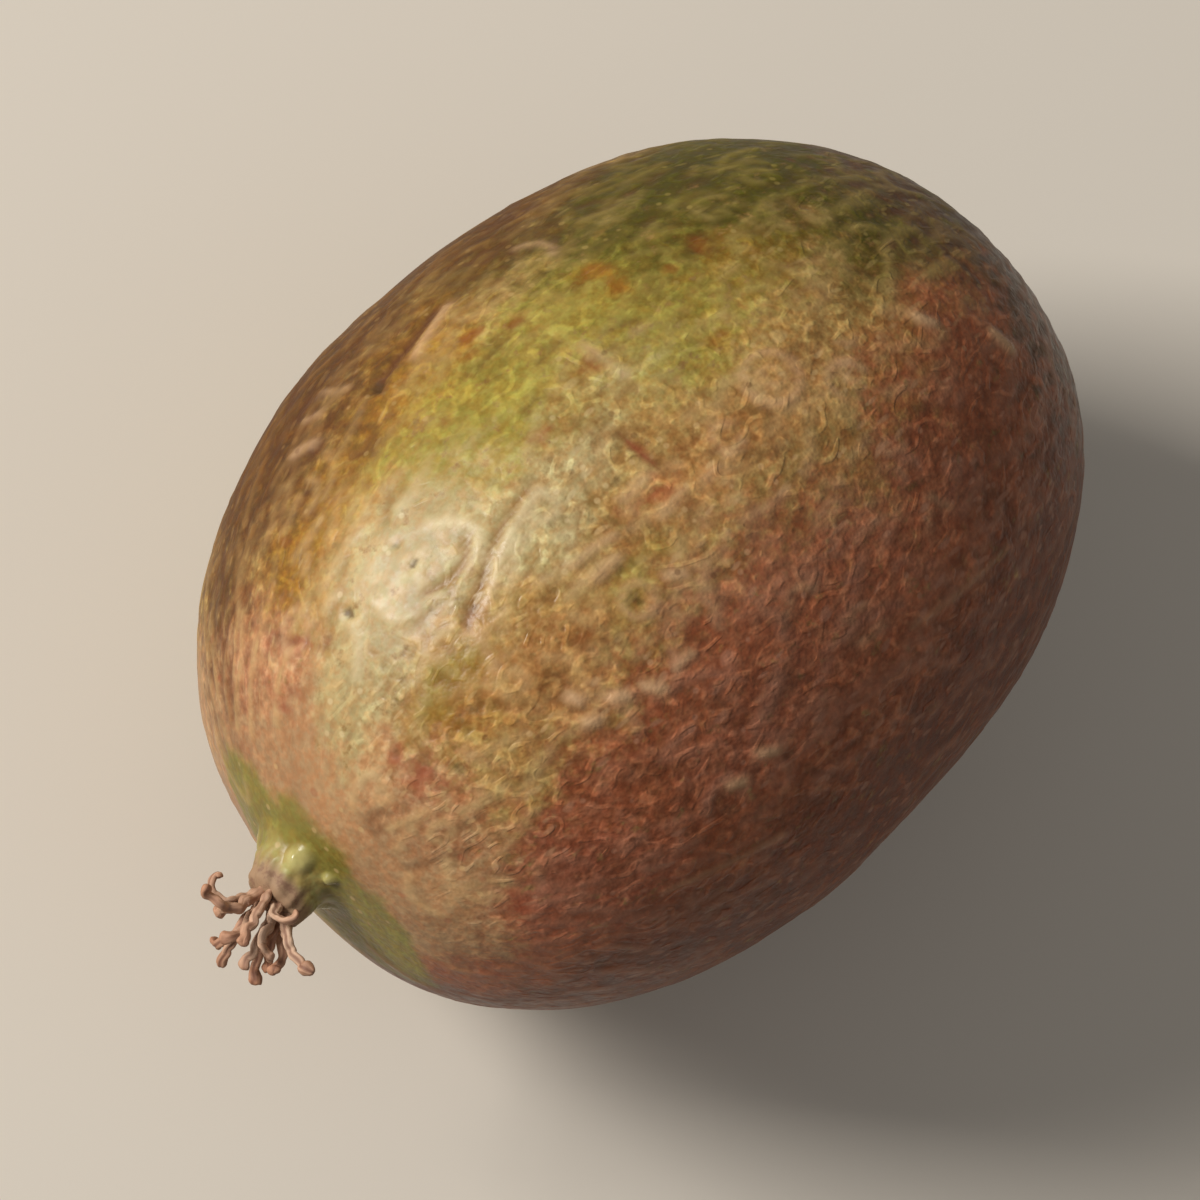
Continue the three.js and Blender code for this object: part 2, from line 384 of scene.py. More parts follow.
# %% Mesh from rings
def solid_from_rings(name, rings, first, last):
    """A closed mesh object from rings of points in mm, shape (rows, columns, 3), and its two end points."""
    rows, columns = rings.shape[:2]
    points = np.concatenate([rings.reshape(-1, 3), [first, last]]) * MM
    index = np.arange(rows * columns).reshape(rows, columns)
    a, b = index[:-1], np.roll(index, -1, axis=1)[:-1]
    c, d = np.roll(index, -1, axis=1)[1:], index[1:]
    quads = np.stack([a, b, c, d], -1).reshape(-1, 4).tolist()
    tip, tail = rows * columns, rows * columns + 1
    start, end = index[0], index[-1]
    fans = [(tip, start[(i + 1) % columns], start[i]) for i in range(columns)]
    fans += [(tail, end[i], end[(i + 1) % columns]) for i in range(columns)]
    mesh = bpy.data.meshes.new(name)
    mesh.from_pydata(points.tolist(), [], quads + [tuple(map(int, fan)) for fan in fans])
    mesh.shade_smooth()
    piece = bpy.data.objects.new(name, mesh)
    bpy.context.scene.collection.objects.link(piece)
    return piece


# %% Values stored with a mesh
def set_values(piece, name, values, kind="FLOAT"):
    """Stores one value, or one vector, for each point of the piece's mesh."""
    attribute = piece.data.attributes.new(name, kind, "POINT")
    key = "vector" if kind == "FLOAT_VECTOR" else "value"
    attribute.data.foreach_set(key, np.asarray(values, np.float32).ravel())


def with_ends(values):
    """Values on the rings, flattened, with the two end points' values added."""
    flat = values.reshape(-1, *values.shape[2:])
    return np.concatenate([flat, [values[0].mean(0)], [values[-1].mean(0)]])


print("values that the fruit's mesh takes:", len(with_ends(grid_x)))

# %% [markdown]
# ## Relief that is part of the shape
#
# Broad, shallow swellings break up the highlight so that the fruit doesn't look moulded. The neck has
# furrows down its side, one between each pair of styles, and glossy swellings at its root, where the
# flower's sepals stood. The stem scar has a raised corky lip with radial cracks. A sculptor would push all
# of this in with brushes. Here each feature is a sum of smooth values that says how far every point of the
# mesh moves outwards, so one number changes it, and it comes out the same each time.

# %% Directions out of the fruit
# The relief moves each point along its own direction: straight out from the axis on the neck, and square
# to the oval on the body.
along = np.clip((grid_x + HALF_LENGTH) / BODY_LENGTH, 0, 1)
at_crown, at_stem = grid_x < 0, grid_x > 0
on_neck = smoothstep(NECK_ROOT_RADIUS + 0.5 * NECK_FLARE, NECK_RADIUS, grid_radius) * at_crown
spoke = np.stack([np.zeros_like(grid_turn), np.cos(grid_turn), np.sin(grid_turn)], -1)
outward = np.stack([grid_x / HALF_LENGTH ** 2,
                    grid_radius * np.cos(grid_turn) / BODY_RADIUS ** 2,
                    grid_radius * np.sin(grid_turn) / (BODY_HEIGHT / 2) ** 2], -1)
outward /= np.linalg.norm(outward, axis=-1, keepdims=True)
outward = outward * (1 - on_neck[..., None]) + spoke * on_neck[..., None]
print("points on the neck:", np.count_nonzero(on_neck > 0.5), "of", on_neck.size)

# %% Broad swellings
BROAD_HEIGHT, LESSER_HEIGHT = 0.13, 0.035
broad = BROAD_HEIGHT * wander(grid, 8, 1) + LESSER_HEIGHT * wander(grid, 3.2, 2)
broad *= smoothstep(NECK_RADIUS, 3 * NECK_RADIUS, grid_radius)
print("broad swellings, mm:", broad.min().round(2), "to", broad.max().round(2))

# %% The neck's furrows and swellings
NECK_FURROWS, FURROW_DEPTH, NECK_UNEVENNESS = 13, 0.035, 0.04
FURROWS_START, FURROWS_FULL = -15.9, -16.5   # places along the axis, in mm
furrows = FURROW_DEPTH * np.cos(NECK_FURROWS * grid_turn + 1.5 * wander(grid, 0.8, 3))
furrows += NECK_UNEVENNESS * wander(grid, 0.5, 4)
furrows *= on_neck * smoothstep(FURROWS_START, FURROWS_FULL, grid_x)

# Swellings at the neck's root: (turn in degrees, place along the axis, height, size).
SEPAL_SCARS = [(86, -16.0, 0.30, 0.48), (126, -15.7, 0.22, 0.25), (200, -15.85, 0.20, 0.40),
               (262, -15.9, 0.20, 0.36), (338, -15.9, 0.14, 0.40), (34, -16.0, 0.05, 0.45)]
CROWN_ROWS = 60          # the rows of the profile at the crown, in which the swellings lie
sepal_scars = np.zeros_like(grid_x)
for turn, place, height, size in SEPAL_SCARS:
    on_profile = np.array(np.interp(place, *profile[:CROWN_ROWS].T))
    centre = grown(np.array(place), on_profile, math.radians(turn)) + offset
    sepal_scars += height * smoothstep(1.25, 0.35, np.linalg.norm(grid - centre, axis=-1) / size)
print("swellings at the neck's root, mm: up to", sepal_scars.max().round(2))

# %% The stem scar
LIP_HEIGHT, LIP_WIDTH = 0.13, 0.28
CRACKS, CRACK_DEPTH, CORK_UNEVENNESS = 13, 0.07, 0.06
CRACK_FLOOR, CRACK_EDGE = 0.008, 0.028       # the cork is darkest below the first, and plain above the second
lip = LIP_HEIGHT * np.exp(-((grid_radius - SCAR_RADIUS * 1.05) / LIP_WIDTH) ** 2)
lip *= 1 + 0.5 * wander(grid, 0.9, 5)
cracks = CRACK_DEPTH * np.abs(np.sin(0.5 * CRACKS * grid_turn + wander(grid, 1.1, 6)))
cracks *= smoothstep(0.2, 0.9, grid_radius)
in_scar = smoothstep(SCAR_RADIUS, 0.9 * SCAR_RADIUS, grid_radius)
cork = lip + in_scar * (CORK_UNEVENNESS * wander(grid, 0.5, 7) + cracks)
cork *= at_stem
print("scar: lip and cracks, mm:", cork.min().round(2), "to", cork.max().round(2))


# %% [markdown]
# ## Wrinkles and pits
#
# Seen close to, the skin is covered with short, shallow, pale wrinkles, most of them lengthwise, and curled
# ones in places. They could be a bump texture, but then the mesh itself would be smooth. Here each one is
# a short walk over the skin, which raises the points of the mesh near it by a few hundredths of a
# millimetre. The same value later makes the crest of the wrinkle paler.

# %% Places on the skin
def radius_at(along):
    """The body's radius at a place along it, 0 at the crown and 1 at the stem end."""
    return BODY_RADIUS * (1 - np.abs(2 * along - 1) ** FULLNESS) ** (1 / FULLNESS)


def on_skin(along, turn):
    """Where a place along the fruit and a turn in degrees lie on the bare skin, in mm."""
    along = np.clip(along, 0.004, 0.992)
    return grown(along * BODY_LENGTH - HALF_LENGTH, radius_at(along), np.radians(turn)) + offset


print("top of the skin half way along, mm:", on_skin(0.5, 90.0).round(2))

# %% A line on the skin
flat_grid = grid.reshape(-1, 3)
print("points that a line can raise:", len(flat_grid))


def mark(layer, path, width, strength):
    """Writes a soft line along a path of (along, turn) pairs into a flat layer with a value per point."""
    points = on_skin(*np.array(path, float).T)
    centre = points.mean(0)
    reach = np.linalg.norm(points - centre, axis=1).max() + 1.5 * width
    near = np.flatnonzero(((flat_grid - centre) ** 2).sum(1) < reach ** 2)
    spots, apart = flat_grid[near], np.full(len(near), np.inf)
    for start, end in zip(points[:-1], points[1:]):
        step = end - start
        part = np.clip((spots - start) @ step / (step @ step), 0, 1)
        apart = np.minimum(apart, np.linalg.norm(spots - start - part[:, None] * step, axis=1))
    layer[near] = np.maximum(layer[near], strength * np.exp(-(apart / (0.6 * width)) ** 2))


# %% A walk over the skin
def walk(along, turn, heading, length, bend):
    """A curved path over the skin. A heading of 0 is lengthwise, 90 round the fruit; it turns by bend."""
    steps = 4 + int(abs(bend) / 30)
    path, stride = [(along, turn)], length / steps
    for _ in range(steps):
        along = min(max(along + stride * math.cos(math.radians(heading)) / BODY_LENGTH, 0.01), 0.98)
        turn += math.degrees(stride * math.sin(math.radians(heading)) / radius_at(along))
        path.append((along, turn))
        heading += bend / steps
    return path


print("2 mm round the top of the fruit is, in degrees:", round(walk(0.5, 90, 90, 2, 0)[-1][1] - 90, 1))

# %% Nearness to a place
def turned_from(turn, centre):
    """How far one turn in degrees is from another, from -180 to 180."""
    return (turn - centre + 180) % 360 - 180


def near_place(along, turn, centre_along, centre_turn, half_length, half_turn):
    """1 at a place on the skin, falling to 0 at about these distances from it."""
    turned = turned_from(turn, centre_turn)
    return np.exp(-((along - centre_along) / half_length) ** 2 - (turned / half_turn) ** 2)


print("nearness at a place and one half length away:",
      [round(float(near_place(along_it, 90, 0.5, 90, 0.1, 20)), 2) for along_it in (0.5, 0.6)])

# %% Small wrinkles all over
# The bare, waxy patch near the crown has hardly any. On top beyond the middle, and along the edge of the
# blush, many of them curl. A quarter are hollows. The draws settle, in this order: whether a wrinkle is made
# and how strong it is, whether it curls, its heading, its length, its bend, whether it is a hollow, and its
# width.
SMALL_WRINKLES = 2100
HOLLOW_SHARE, CURLY_SHARE = 0.25, 0.22
chance = np.random.default_rng(5)
crest, valley, pale_line, dark_line = np.zeros((4, len(flat_grid)))
made = 0
while made < SMALL_WRINKLES:
    place, turn = chance.uniform(0.03, 0.985), chance.uniform(0, 360)
    draw = chance.uniform(size=7)
    bareness = 0.9 * near_place(place, turn, 0.2, 58, 0.13, 15)
    bareness += 0.55 * near_place(place, turn, 0.06, 60, 0.05, 90)
    if draw[0] < bareness:
        continue
    made += 1
    curliness = max(near_place(place, turn, 0.66, 82, 0.2, 30), near_place(place, turn, 0.25, 102, 0.2, 16))
    if draw[1] < CURLY_SHARE + 0.6 * curliness:
        path = walk(place, turn, 360 * draw[2], 0.7 + 1.6 * draw[3], (draw[4] - 0.5) * 620)
    else:
        path = walk(place, turn, 60 * (draw[2] - 0.5), 0.4 + 1.8 * draw[3] ** 1.6, (draw[4] - 0.5) * 90)
    target = valley if draw[5] < HOLLOW_SHARE else crest
    mark(target, path, 0.27 + 0.10 * draw[6], 0.25 + 0.75 * draw[0])
print("small wrinkles:", made)

# %% [markdown]
# A few marks are large enough to know the berry by, so they are listed one by one: long wrinkles at the edge
# of the bare patch, a dark scar with a pale edge on one side, rings and bars of cork further along, the
# brightest bars partly painted glints, and some pits. Every place is a pair: how far along the fruit from
# crown to stem, and the turn about its axis in degrees, where 0 is the +Y side, 90 is the top and 180 the
# -Y side.

# %% Rings and softened paths
def softened(path):
    """The same path with its corners cut twice, so that a few points make a smooth line."""
    path = np.array(path, float)
    for _ in range(2):
        cut = np.stack([0.75 * path[:-1] + 0.25 * path[1:], 0.25 * path[:-1] + 0.75 * path[1:]], 1)
        path = np.concatenate([path[:1], cut.reshape(-1, 2), path[-1:]])
    return path


def ring(along, turn, radius, opening=0):
    """A circle on the skin as a path. opening leaves a gap of that many degrees."""
    angles = np.radians(np.linspace(opening / 2, 360 - opening / 2, 17))
    return [(along + radius * math.cos(a) / BODY_LENGTH,
             turn + math.degrees(radius * math.sin(a) / radius_at(along))) for a in angles]


print("three points softened make:", len(softened([(0, 0), (1, 0), (1, 1)])))

# %% Large wrinkles
# Each is a width, a strength, and its path.
LARGE_CRESTS = [
    (0.50, 1.0, [(0.258, 58.5), (0.281, 63), (0.282, 67), (0.262, 70.3)]),
    (0.46, 1.0, [(0.232, 76), (0.268, 72.9), (0.310, 70.9), (0.350, 70)]),
    (0.40, 0.7, [(0.206, 78), (0.201, 81), (0.194, 84.5)]),
    (0.40, 0.6, [(0.168, 58), (0.162, 63), (0.182, 67)]),
    (0.36, 0.6, [(0.205, 46), (0.217, 47.5)]), (0.36, 0.5, [(0.262, 46.5), (0.29, 48)]),
    (0.45, 1.0, [(0.262, 21), (0.270, 22.6), (0.278, 24.6)]), (0.36, 0.7, [(0.300, 18), (0.312, 21.5)]),
    (0.36, 0.6, [(0.335, 17), (0.338, 21), (0.345, 24)]),
    (0.48, 1.1, [(0.405, 33.6), (0.430, 32.4), (0.472, 30.4)]),
    (0.40, 1.0, [(0.318, 82.4), (0.340, 82.6), (0.368, 83.6)]), (0.40, 0.9, [(0.322, 86.2), (0.353, 86.5)]),
    (0.40, 0.9, [(0.420, 86.6), (0.452, 85.9)]), (0.38, 0.8, [(0.476, 87.3), (0.497, 86.8)]),
    (0.40, 0.8, [(0.500, 57.5), (0.508, 62), (0.504, 66.5)]),
    (0.42, 0.8, [(0.402, 80.4), (0.438, 80.8)]),
    (0.36, 0.9, ring(0.610, 82.7, 0.95)), (0.30, 0.5, ring(0.611, 82.5, 0.35)),
    (0.34, 0.8, ring(0.526, 85, 0.50, 60)), (0.34, 0.8, ring(0.340, 93.5, 0.55)),
    (0.34, 0.7, ring(0.113, 42, 0.55, 50)),
    (0.34, 0.8, [(0.655, 92.5), (0.650, 89.5), (0.664, 87.6), (0.684, 88), (0.696, 91.5)]),
    (0.34, 0.7, [(0.698, 85.3), (0.706, 87.6), (0.714, 86.6)]),
    (0.38, 0.7, [(0.572, 30.5), (0.586, 33), (0.590, 36), (0.579, 38.5)]),
    (0.36, 0.7, [(0.420, 96), (0.401, 98.5), (0.391, 101), (0.386, 105)]),
    (0.36, 0.7, [(0.660, 102.5), (0.645, 104), (0.672, 105)]),
    # The short, strongest bars below are pale specks, partly painted glints.
    (0.50, 1.7, [(0.226, 97.4), (0.230, 98.9)]), (0.48, 1.6, [(0.222, 102.6), (0.230, 103.6)]),
    (0.52, 1.7, [(0.257, 102.2), (0.267, 103.3)]), (0.46, 1.6, [(0.288, 104.2), (0.299, 106.4)]),
    (0.44, 1.3, [(0.326, 105.2), (0.343, 105.2)]), (0.46, 1.4, [(0.380, 93.8), (0.391, 95.2)]),
    (0.46, 1.5, [(0.302, 127.6), (0.316, 128.4)]), (0.44, 1.3, [(0.345, 126.2), (0.362, 127.6)]),
    (0.44, 1.6, [(0.790, 91), (0.800, 94)]), (0.46, 1.6, [(0.856, 104), (0.862, 110)]),
    (0.34, 0.6, [(0.640, 118), (0.662, 113), (0.672, 118)]),
    (0.34, 0.6, [(0.450, 111), (0.475, 108), (0.490, 111)]), (0.34, 0.6, ring(0.515, 121, 0.6, 90)),
    (0.32, 0.5, [(0.560, 128), (0.640, 131), (0.715, 134)]), (0.32, 0.5, [(0.200, 141), (0.330, 143)]),
]
print("large wrinkles:", len(LARGE_CRESTS))

# %% Large hollows
# Their dark colour is partly the skin's own brown and partly painted shade in the hollow.
LARGE_VALLEYS = [
    (0.32, 1.2, [(0.203, 65.8), (0.222, 68), (0.250, 68.3), (0.272, 66)]),
    (0.32, 1.1, [(0.218, 74.8), (0.240, 73), (0.266, 70.6), (0.300, 69.4), (0.340, 68.3)]),
    (0.34, 0.7, [(0.203, 75.8), (0.211, 74), (0.222, 72.2)]),
    (0.34, 0.4, [(0.150, 66), (0.180, 68), (0.208, 70)]),
    (0.50, 1.3, [(0.352, 31.2), (0.380, 30.2), (0.420, 30), (0.462, 28.4)]),
    (0.36, 0.7, [(0.264, 26), (0.285, 26.6)]), (0.36, 0.6, [(0.115, 24), (0.128, 20)]),
    (0.30, 0.3, [(0.058, 38), (0.062, 42), (0.060, 46)]), (0.30, 0.25, [(0.071, 43.5), (0.074, 50)]),
    (0.34, 0.8, [(0.104, 37), (0.101, 41), (0.111, 46.5)]),
    (0.34, 1.0, [(0.449, 72.5), (0.452, 77), (0.455, 81.5)]),
    (0.30, 0.6, [(0.566, 29), (0.562, 33)]), (0.32, 0.6, [(0.778, 76), (0.792, 79.5)]),
    (0.32, 0.6, [(0.586, 131), (0.600, 133)]), (0.32, 0.6, [(0.200, 122), (0.214, 123)]),
]
LINE_NARROWING = 0.75    # the lines are made this much narrower than they are listed
for layer, marks_here in ((pale_line, LARGE_CRESTS), (dark_line, LARGE_VALLEYS)):
    for width, strength, path in marks_here:
        mark(layer, softened(path), LINE_NARROWING * width, strength)
print("large hollows:", len(LARGE_VALLEYS))

# %% Pits
# (along, turn, radius, depth). A pit has a rounded floor and a faintly raised rim.
PITS = [(0.148, 54, 0.29, 0.10), (0.218, 60.5, 0.25, 0.08), (0.223, 55.6, 0.24, 0.05),
        (0.340, 93.5, 0.26, 0.06), (0.176, 57, 0.20, 0.03), (0.645, 45.5, 0.28, 0.05),
        (0.631, 49, 0.26, 0.05), (0.355, 30.9, 0.34, 0.08), (0.083, 80.5, 0.28, 0.05),
        (0.110, 93, 0.40, 0.06), (0.467, 96, 0.22, 0.05), (0.735, 118, 0.30, 0.05)]
DARKEST_DEPTH = 0.08     # a pit this deep gets the full pit colour
pit, pit_relief = np.zeros_like(grid_x), np.zeros_like(grid_x)
for place, turn, radius, depth in PITS:
    apart = np.linalg.norm(grid - on_skin(np.array(place), np.array(turn)), axis=-1) / radius
    apart *= 1 + 0.25 * wander(grid, 0.5, 8)
    hollow = smoothstep(1.15, 0.3, apart)
    pit = np.maximum(pit, min(1, depth / DARKEST_DEPTH) * hollow)
    pit_relief += 0.25 * depth * np.exp(-((apart - 1.35) / 0.3) ** 2) - depth * hollow
print("pits:", len(PITS))

# %% The bare fruit
# Small and large wrinkles are raised, and small and large hollows sunk, by these heights.
HEIGHTS = {"crest": 0.04, "valley": -0.04, "pale line": 0.07, "dark line": -0.08}
on_body = smoothstep(NECK_ROOT_RADIUS + NECK_FLARE, NECK_ROOT_RADIUS + 2 * NECK_FLARE, grid_radius)
lines = {name: layer.reshape(grid_x.shape) * on_body
         for name, layer in zip(HEIGHTS, (crest, valley, pale_line, dark_line))}
wrinkles = sum(HEIGHTS[name] * layer for name, layer in lines.items())
relief = broad + furrows + sepal_scars + cork + wrinkles + pit_relief
grid_relief = grid + outward * relief[..., None]
grid_relief[..., 2] = np.maximum(grid_relief[..., 2], 0)      # the flat spot that the fruit lies on
first = grid_relief[0].mean(0) + np.array([-0.05, 0, 0])
last = grid_relief[-1].mean(0)
berry = solid_from_rings("berry_fruit", grid_relief, first, last)
print("berry faces:", len(berry.data.polygons))
print("relief, mm: from", relief.min().round(2), "to", relief.max().round(2))


# %% [markdown]
# ## Masks for the colours
#
# The skin's colours lie in broad patches whose edges wander. Each colour has a mask from 0 to 1 that is
# stored with the points of the mesh, and the material mixes its colours by them. An image could be painted
# and wrapped round the fruit, but it would show a seam and its own grain close to. The patches are placed
# one by one, as a painter blocks in a canvas: where the sun made the blush, the olive far side, and the
# paler places in between. The places are shaken a little by wandering values, so that no edge is even.

# %% Shaken places and soft patches
shaken_along = (along + 0.016 * wander(grid, 5.0, 11) + 0.012 * wander(grid, 2.0, 12)
                + 0.006 * wander(grid, 0.8, 13))
shaken_turn = (grid_degrees + 3.5 * wander(grid, 5.5, 14) + 2.6 * wander(grid, 2.1, 15)
               + 1.8 * wander(grid, 0.8, 16))
fine_edge = 0.12 * wander(grid, 0.45, 17)


def patch(place, turn, half_length, half_turn, strength=1.0):
    """A soft-edged patch: its place along the fruit, its turn, its half sizes in both, and its strength."""
    turned = turned_from(shaken_turn, turn)
    reach = np.hypot((shaken_along - place) / half_length, turned / half_turn) + fine_edge
    return strength * smoothstep(1.5, 0.2, reach)


def patches(*places):
    """The strongest of several patches at each point."""
    return np.max([patch(*place) for place in places], axis=0)


def beyond(limit, soft):
    """1 where the turn is past a limit that changes along the fruit. limit is (along, turn) pairs."""
    # Turns are counted from -90, at the underside, so that the count has no jump where the limit runs.
    places, limits = np.array(limit, float).T
    past = (shaken_turn + 90) % 360 - 90 - np.interp(shaken_along, places, limits)
    return smoothstep(-soft, soft, past + 8 * fine_edge)


print("turns are shaken by up to, degrees:", np.abs(shaken_turn - grid_degrees).max().round(1))

# %% The patches of colour
from_neck = np.linalg.norm(grid - grid_relief[0].mean(0), axis=-1)
colour_patches = {
    "yellow green": patches((0.40, 50, 0.14, 14), (0.60, 54, 0.20, 22), (0.30, 40, 0.07, 7, 0.8),
                            (0.16, 84, 0.035, 6, 0.7), (0.34, 93, 0.07, 4, 0.6), (0.55, 270, 0.5, 70)),
    # Olive is the skin's own dark green, deepened by painted shade, most of all on the far top.
    "olive and painted shade": patches((0.79, 37, 0.26, 32), (0.56, 26, 0.16, 14, 0.7), (0.86, 66, 0.14, 34, 0.8),
                     (0.62, 285, 0.3, 45, 0.8)),
    "gold": patches((0.20, 33, 0.13, 9), (0.38, 32, 0.14, 10, 0.9), (0.17, 88, 0.07, 8, 0.7),
                    (0.585, 50, 0.03, 6, 0.7), (0.70, 62, 0.08, 10, 0.4)),
    "shoulder": (smoothstep(0.17, 0.06, shaken_along)
                 * smoothstep(150, 110, np.abs(turned_from(shaken_turn, 40)))),
    # Cream lies where the highlight falls: partly the pale waxy skin, partly a painted highlight.
    "cream and painted highlight": patches((0.21, 60, 0.15, 14), (0.11, 64, 0.08, 15, 0.85), (0.32, 68, 0.14, 10, 0.9),
                     (0.47, 66, 0.09, 9, 0.4)),
    "ochre": patches((0.52, 88, 0.20, 9, 0.8), (0.78, 100, 0.12, 16), (0.24, 91, 0.10, 8, 0.9),
                     (0.12, 104, 0.06, 12, 0.4), (0.66, 106, 0.10, 10, 0.8), (0.62, 150, 0.22, 12, 0.7)),
    "blush": beyond([(0, 172), (0.04, 153), (0.07, 139), (0.11, 119), (0.17, 101), (0.5, 99), (0.56, 101),
                     (0.62, 106), (0.68, 94), (0.85, 88), (1, 80)], 15),
    # Dark blush: partly the skin's deeper blush, partly painted shade on the side turned from the light.
    "dark blush and painted shade": np.maximum(
        0.9 * beyond([(0, 190), (0.08, 168), (0.16, 142), (0.5, 138), (1, 120)], 16),
        patches((0.27, 112, 0.10, 7, 0.35), (0.45, 116, 0.10, 8, 0.3), (0.76, 112, 0.12, 12, 0.4))),
    "pink": patches((0.14, 132, 0.10, 22, 0.8), (0.32, 124, 0.16, 8, 0.5), (0.08, 98, 0.055, 20, 0.4),
                    (0.075, 24, 0.07, 26, 0.5), (0.425, 82, 0.05, 4, 0.35), (0.12, 225, 0.09, 40, 0.6)),
    # Bronze is partly the skin's own dark brown and partly painted shade along the upper edge and the far
    # top.
    "bronze and painted shade": patches((0.31, 8, 0.28, 27, 0.95), (0.28, -10, 0.22, 18, 0.6), (0.56, 7, 0.26, 28, 0.85)),
    # The far end is partly the skin's own brown and partly painted shade.
    "far brown and painted shade": smoothstep(0.83, 0.97, shaken_along + 0.5 * fine_edge),
    "crown green": smoothstep(4.4, 3.0, from_neck + 0.35 * wander(grid, 1.6, 18) + 1.5 * fine_edge
                              - 2.4 * near_place(along, grid_degrees, 0, 190, 1, 38)
                              - 1.8 * near_place(along, grid_degrees, 0, -4, 1, 26)) * at_crown,
    "neck": smoothstep(2.4, 1.7, from_neck + 0.2 * wander(grid, 0.9, 24)) * at_crown,
}
# Where the blush ends round the underside of the fruit.
sunny = smoothstep(248, 212, grid_degrees + 8 * wander(grid, 4, 19))
for name in ("blush", "dark blush and painted shade"):
    colour_patches[name] *= sunny
print("patches of colour:", ", ".join(colour_patches))

# %% Spots and stains
# Half sizes are in mm here: (along, turn, half length, half height, strength).
RUST_SPOTS = [(0.449, 40.8, 0.50, 0.38, 1), (0.434, 43.2, 0.32, 0.30, 0.8), (0.485, 45.4, 0.45, 0.30, 0.8),
              (0.497, 49.3, 0.30, 0.50, 0.7), (0.585, 50.5, 0.85, 1.2, 0.45), (0.180, 30.0, 0.30, 0.50, 0.8),
              (0.355, 49.0, 0.32, 0.40, 0.8), (0.637, 57.0, 0.30, 0.30, 0.9), (0.680, 56.5, 0.36, 0.70, 0.8),
              (0.601, 72.0, 0.60, 0.42, 0.7), (0.655, 71.0, 0.30, 0.40, 0.6), (0.210, 75.5, 0.35, 0.30, 0.6),
              (0.205, 84.0, 0.40, 0.80, 0.4), (0.255, 86.5, 0.50, 0.60, 0.5), (0.275, 91.5, 0.60, 0.30, 0.7),
              (0.128, 19.0, 0.30, 0.80, 0.5), (0.240, 38.5, 0.45, 0.40, 0.4), (0.330, 40.0, 0.30, 0.50, 0.4),
              (0.520, 78.0, 0.60, 0.50, 0.4), (0.700, 75.0, 0.60, 0.40, 0.4), (0.470, 74.0, 0.50, 0.40, 0.5)]
RED_SPOTS = [(0.396, 64.0, 0.50, 0.42, 0.9), (0.489, 61.5, 0.42, 0.75, 0.8), (0.430, 83.7, 0.75, 0.34, 1),
             (0.081, 88.5, 0.36, 0.75, 0.9), (0.083, 80.5, 0.32, 0.30, 0.9), (0.108, 44.5, 0.22, 0.60, 0.8),
             (0.060, 41.5, 0.20, 0.90, 0.6), (0.072, 47.0, 0.22, 0.70, 0.5), (0.088, 75.0, 0.30, 0.60, 0.5),
             (0.452, 77.0, 0.22, 0.85, 0.9), (0.085, 131.0, 0.30, 1.0, 0.7), (0.128, 108.0, 0.36, 0.80, 0.5)]


def spots(places):
    """Small ragged spots, laid out by their true size on the skin."""
    layer = np.zeros_like(grid_x)
    ragged = 0.4 * wander(grid, 0.45, 20)
    for place, turn, half_length, half_height, strength in places:
        round_it = np.radians(turned_from(grid_degrees, turn)) * grid_radius / half_height
        reach = np.hypot((along - place) * BODY_LENGTH / half_length, round_it) + ragged
        layer = np.maximum(layer, strength * smoothstep(1.5, 0.2, reach))
    return layer


print("rust spots:", len(RUST_SPOTS), "red spots:", len(RED_SPOTS))

# %% Store the masks
# "lengthwise" fades the lengthwise textures where they would meet at the ends, "calm" keeps two colours from
# breaking up into one another, and "smooth" is where the skin has little texture.
TALLEST_SWELLING = 0.2   # a swelling this high, in mm, is fully glossy
DRY_START, DRY_FULL = -16.3, -17.0           # places along the neck, in mm
marks = {
    **lines, "pit": pit, "rust": spots(RUST_SPOTS), "red": spots(RED_SPOTS),
    "glossy": np.clip(sepal_scars / TALLEST_SWELLING, 0, 1),
    "lengthwise": smoothstep(3.5, 8.0, grid_radius),
    "calm": np.clip(smoothstep(7.0, 4.0, from_neck) + 0.8 * colour_patches["bronze and painted shade"]
                    + 0.4 * colour_patches["olive and painted shade"], 0, 1),
    "dry neck": smoothstep(DRY_START, DRY_FULL, grid_x + 0.22 * wander(grid, 0.5, 21)
                           + 0.1 * np.cos(NECK_FURROWS * grid_turn)) * at_crown,
    "cork": smoothstep(1.35 * SCAR_RADIUS, SCAR_RADIUS, grid_radius + 0.15 * wander(grid, 1, 22)) * at_stem,
    "crack": (smoothstep(CRACK_EDGE, CRACK_FLOOR, cracks)
              * smoothstep(1.25 * SCAR_RADIUS, 0.95 * SCAR_RADIUS, grid_radius) * at_stem),
    "smooth": np.clip(near_place(along, grid_degrees, 0.2, 58, 0.15, 18)
                      + 0.6 * near_place(along, grid_degrees, 0.0, 60, 0.08, 120)
                      + 0.35 * colour_patches["olive and painted shade"] + 0.35 * colour_patches["yellow green"]
                      + 0.3 * colour_patches["bronze and painted shade"], 0, 1),
}
for name, values in {**colour_patches, **marks}.items():
    set_values(berry, name, with_ends(values))
print("other masks:", ", ".join(marks))

# %% [markdown]
# Two sets of coordinates go with the mesh for the textures. rest_mm is where a point lay before the relief,
# for speckles that look alike in every direction. grain runs along the fruit from end to end, with the
# distances along it shortened, so that a texture laid out by it becomes streaks that meet at the neck and
# at the scar, as the skin's own growth lines do. A flat unwrapping would do that too, but with a seam.

# %% Grain coordinates
GRAIN_RADIUS = 10.0      # the streaks have their true width at this distance from the axis
GRAIN_STRETCH = 0.6      # how much the distances along the fruit are shortened

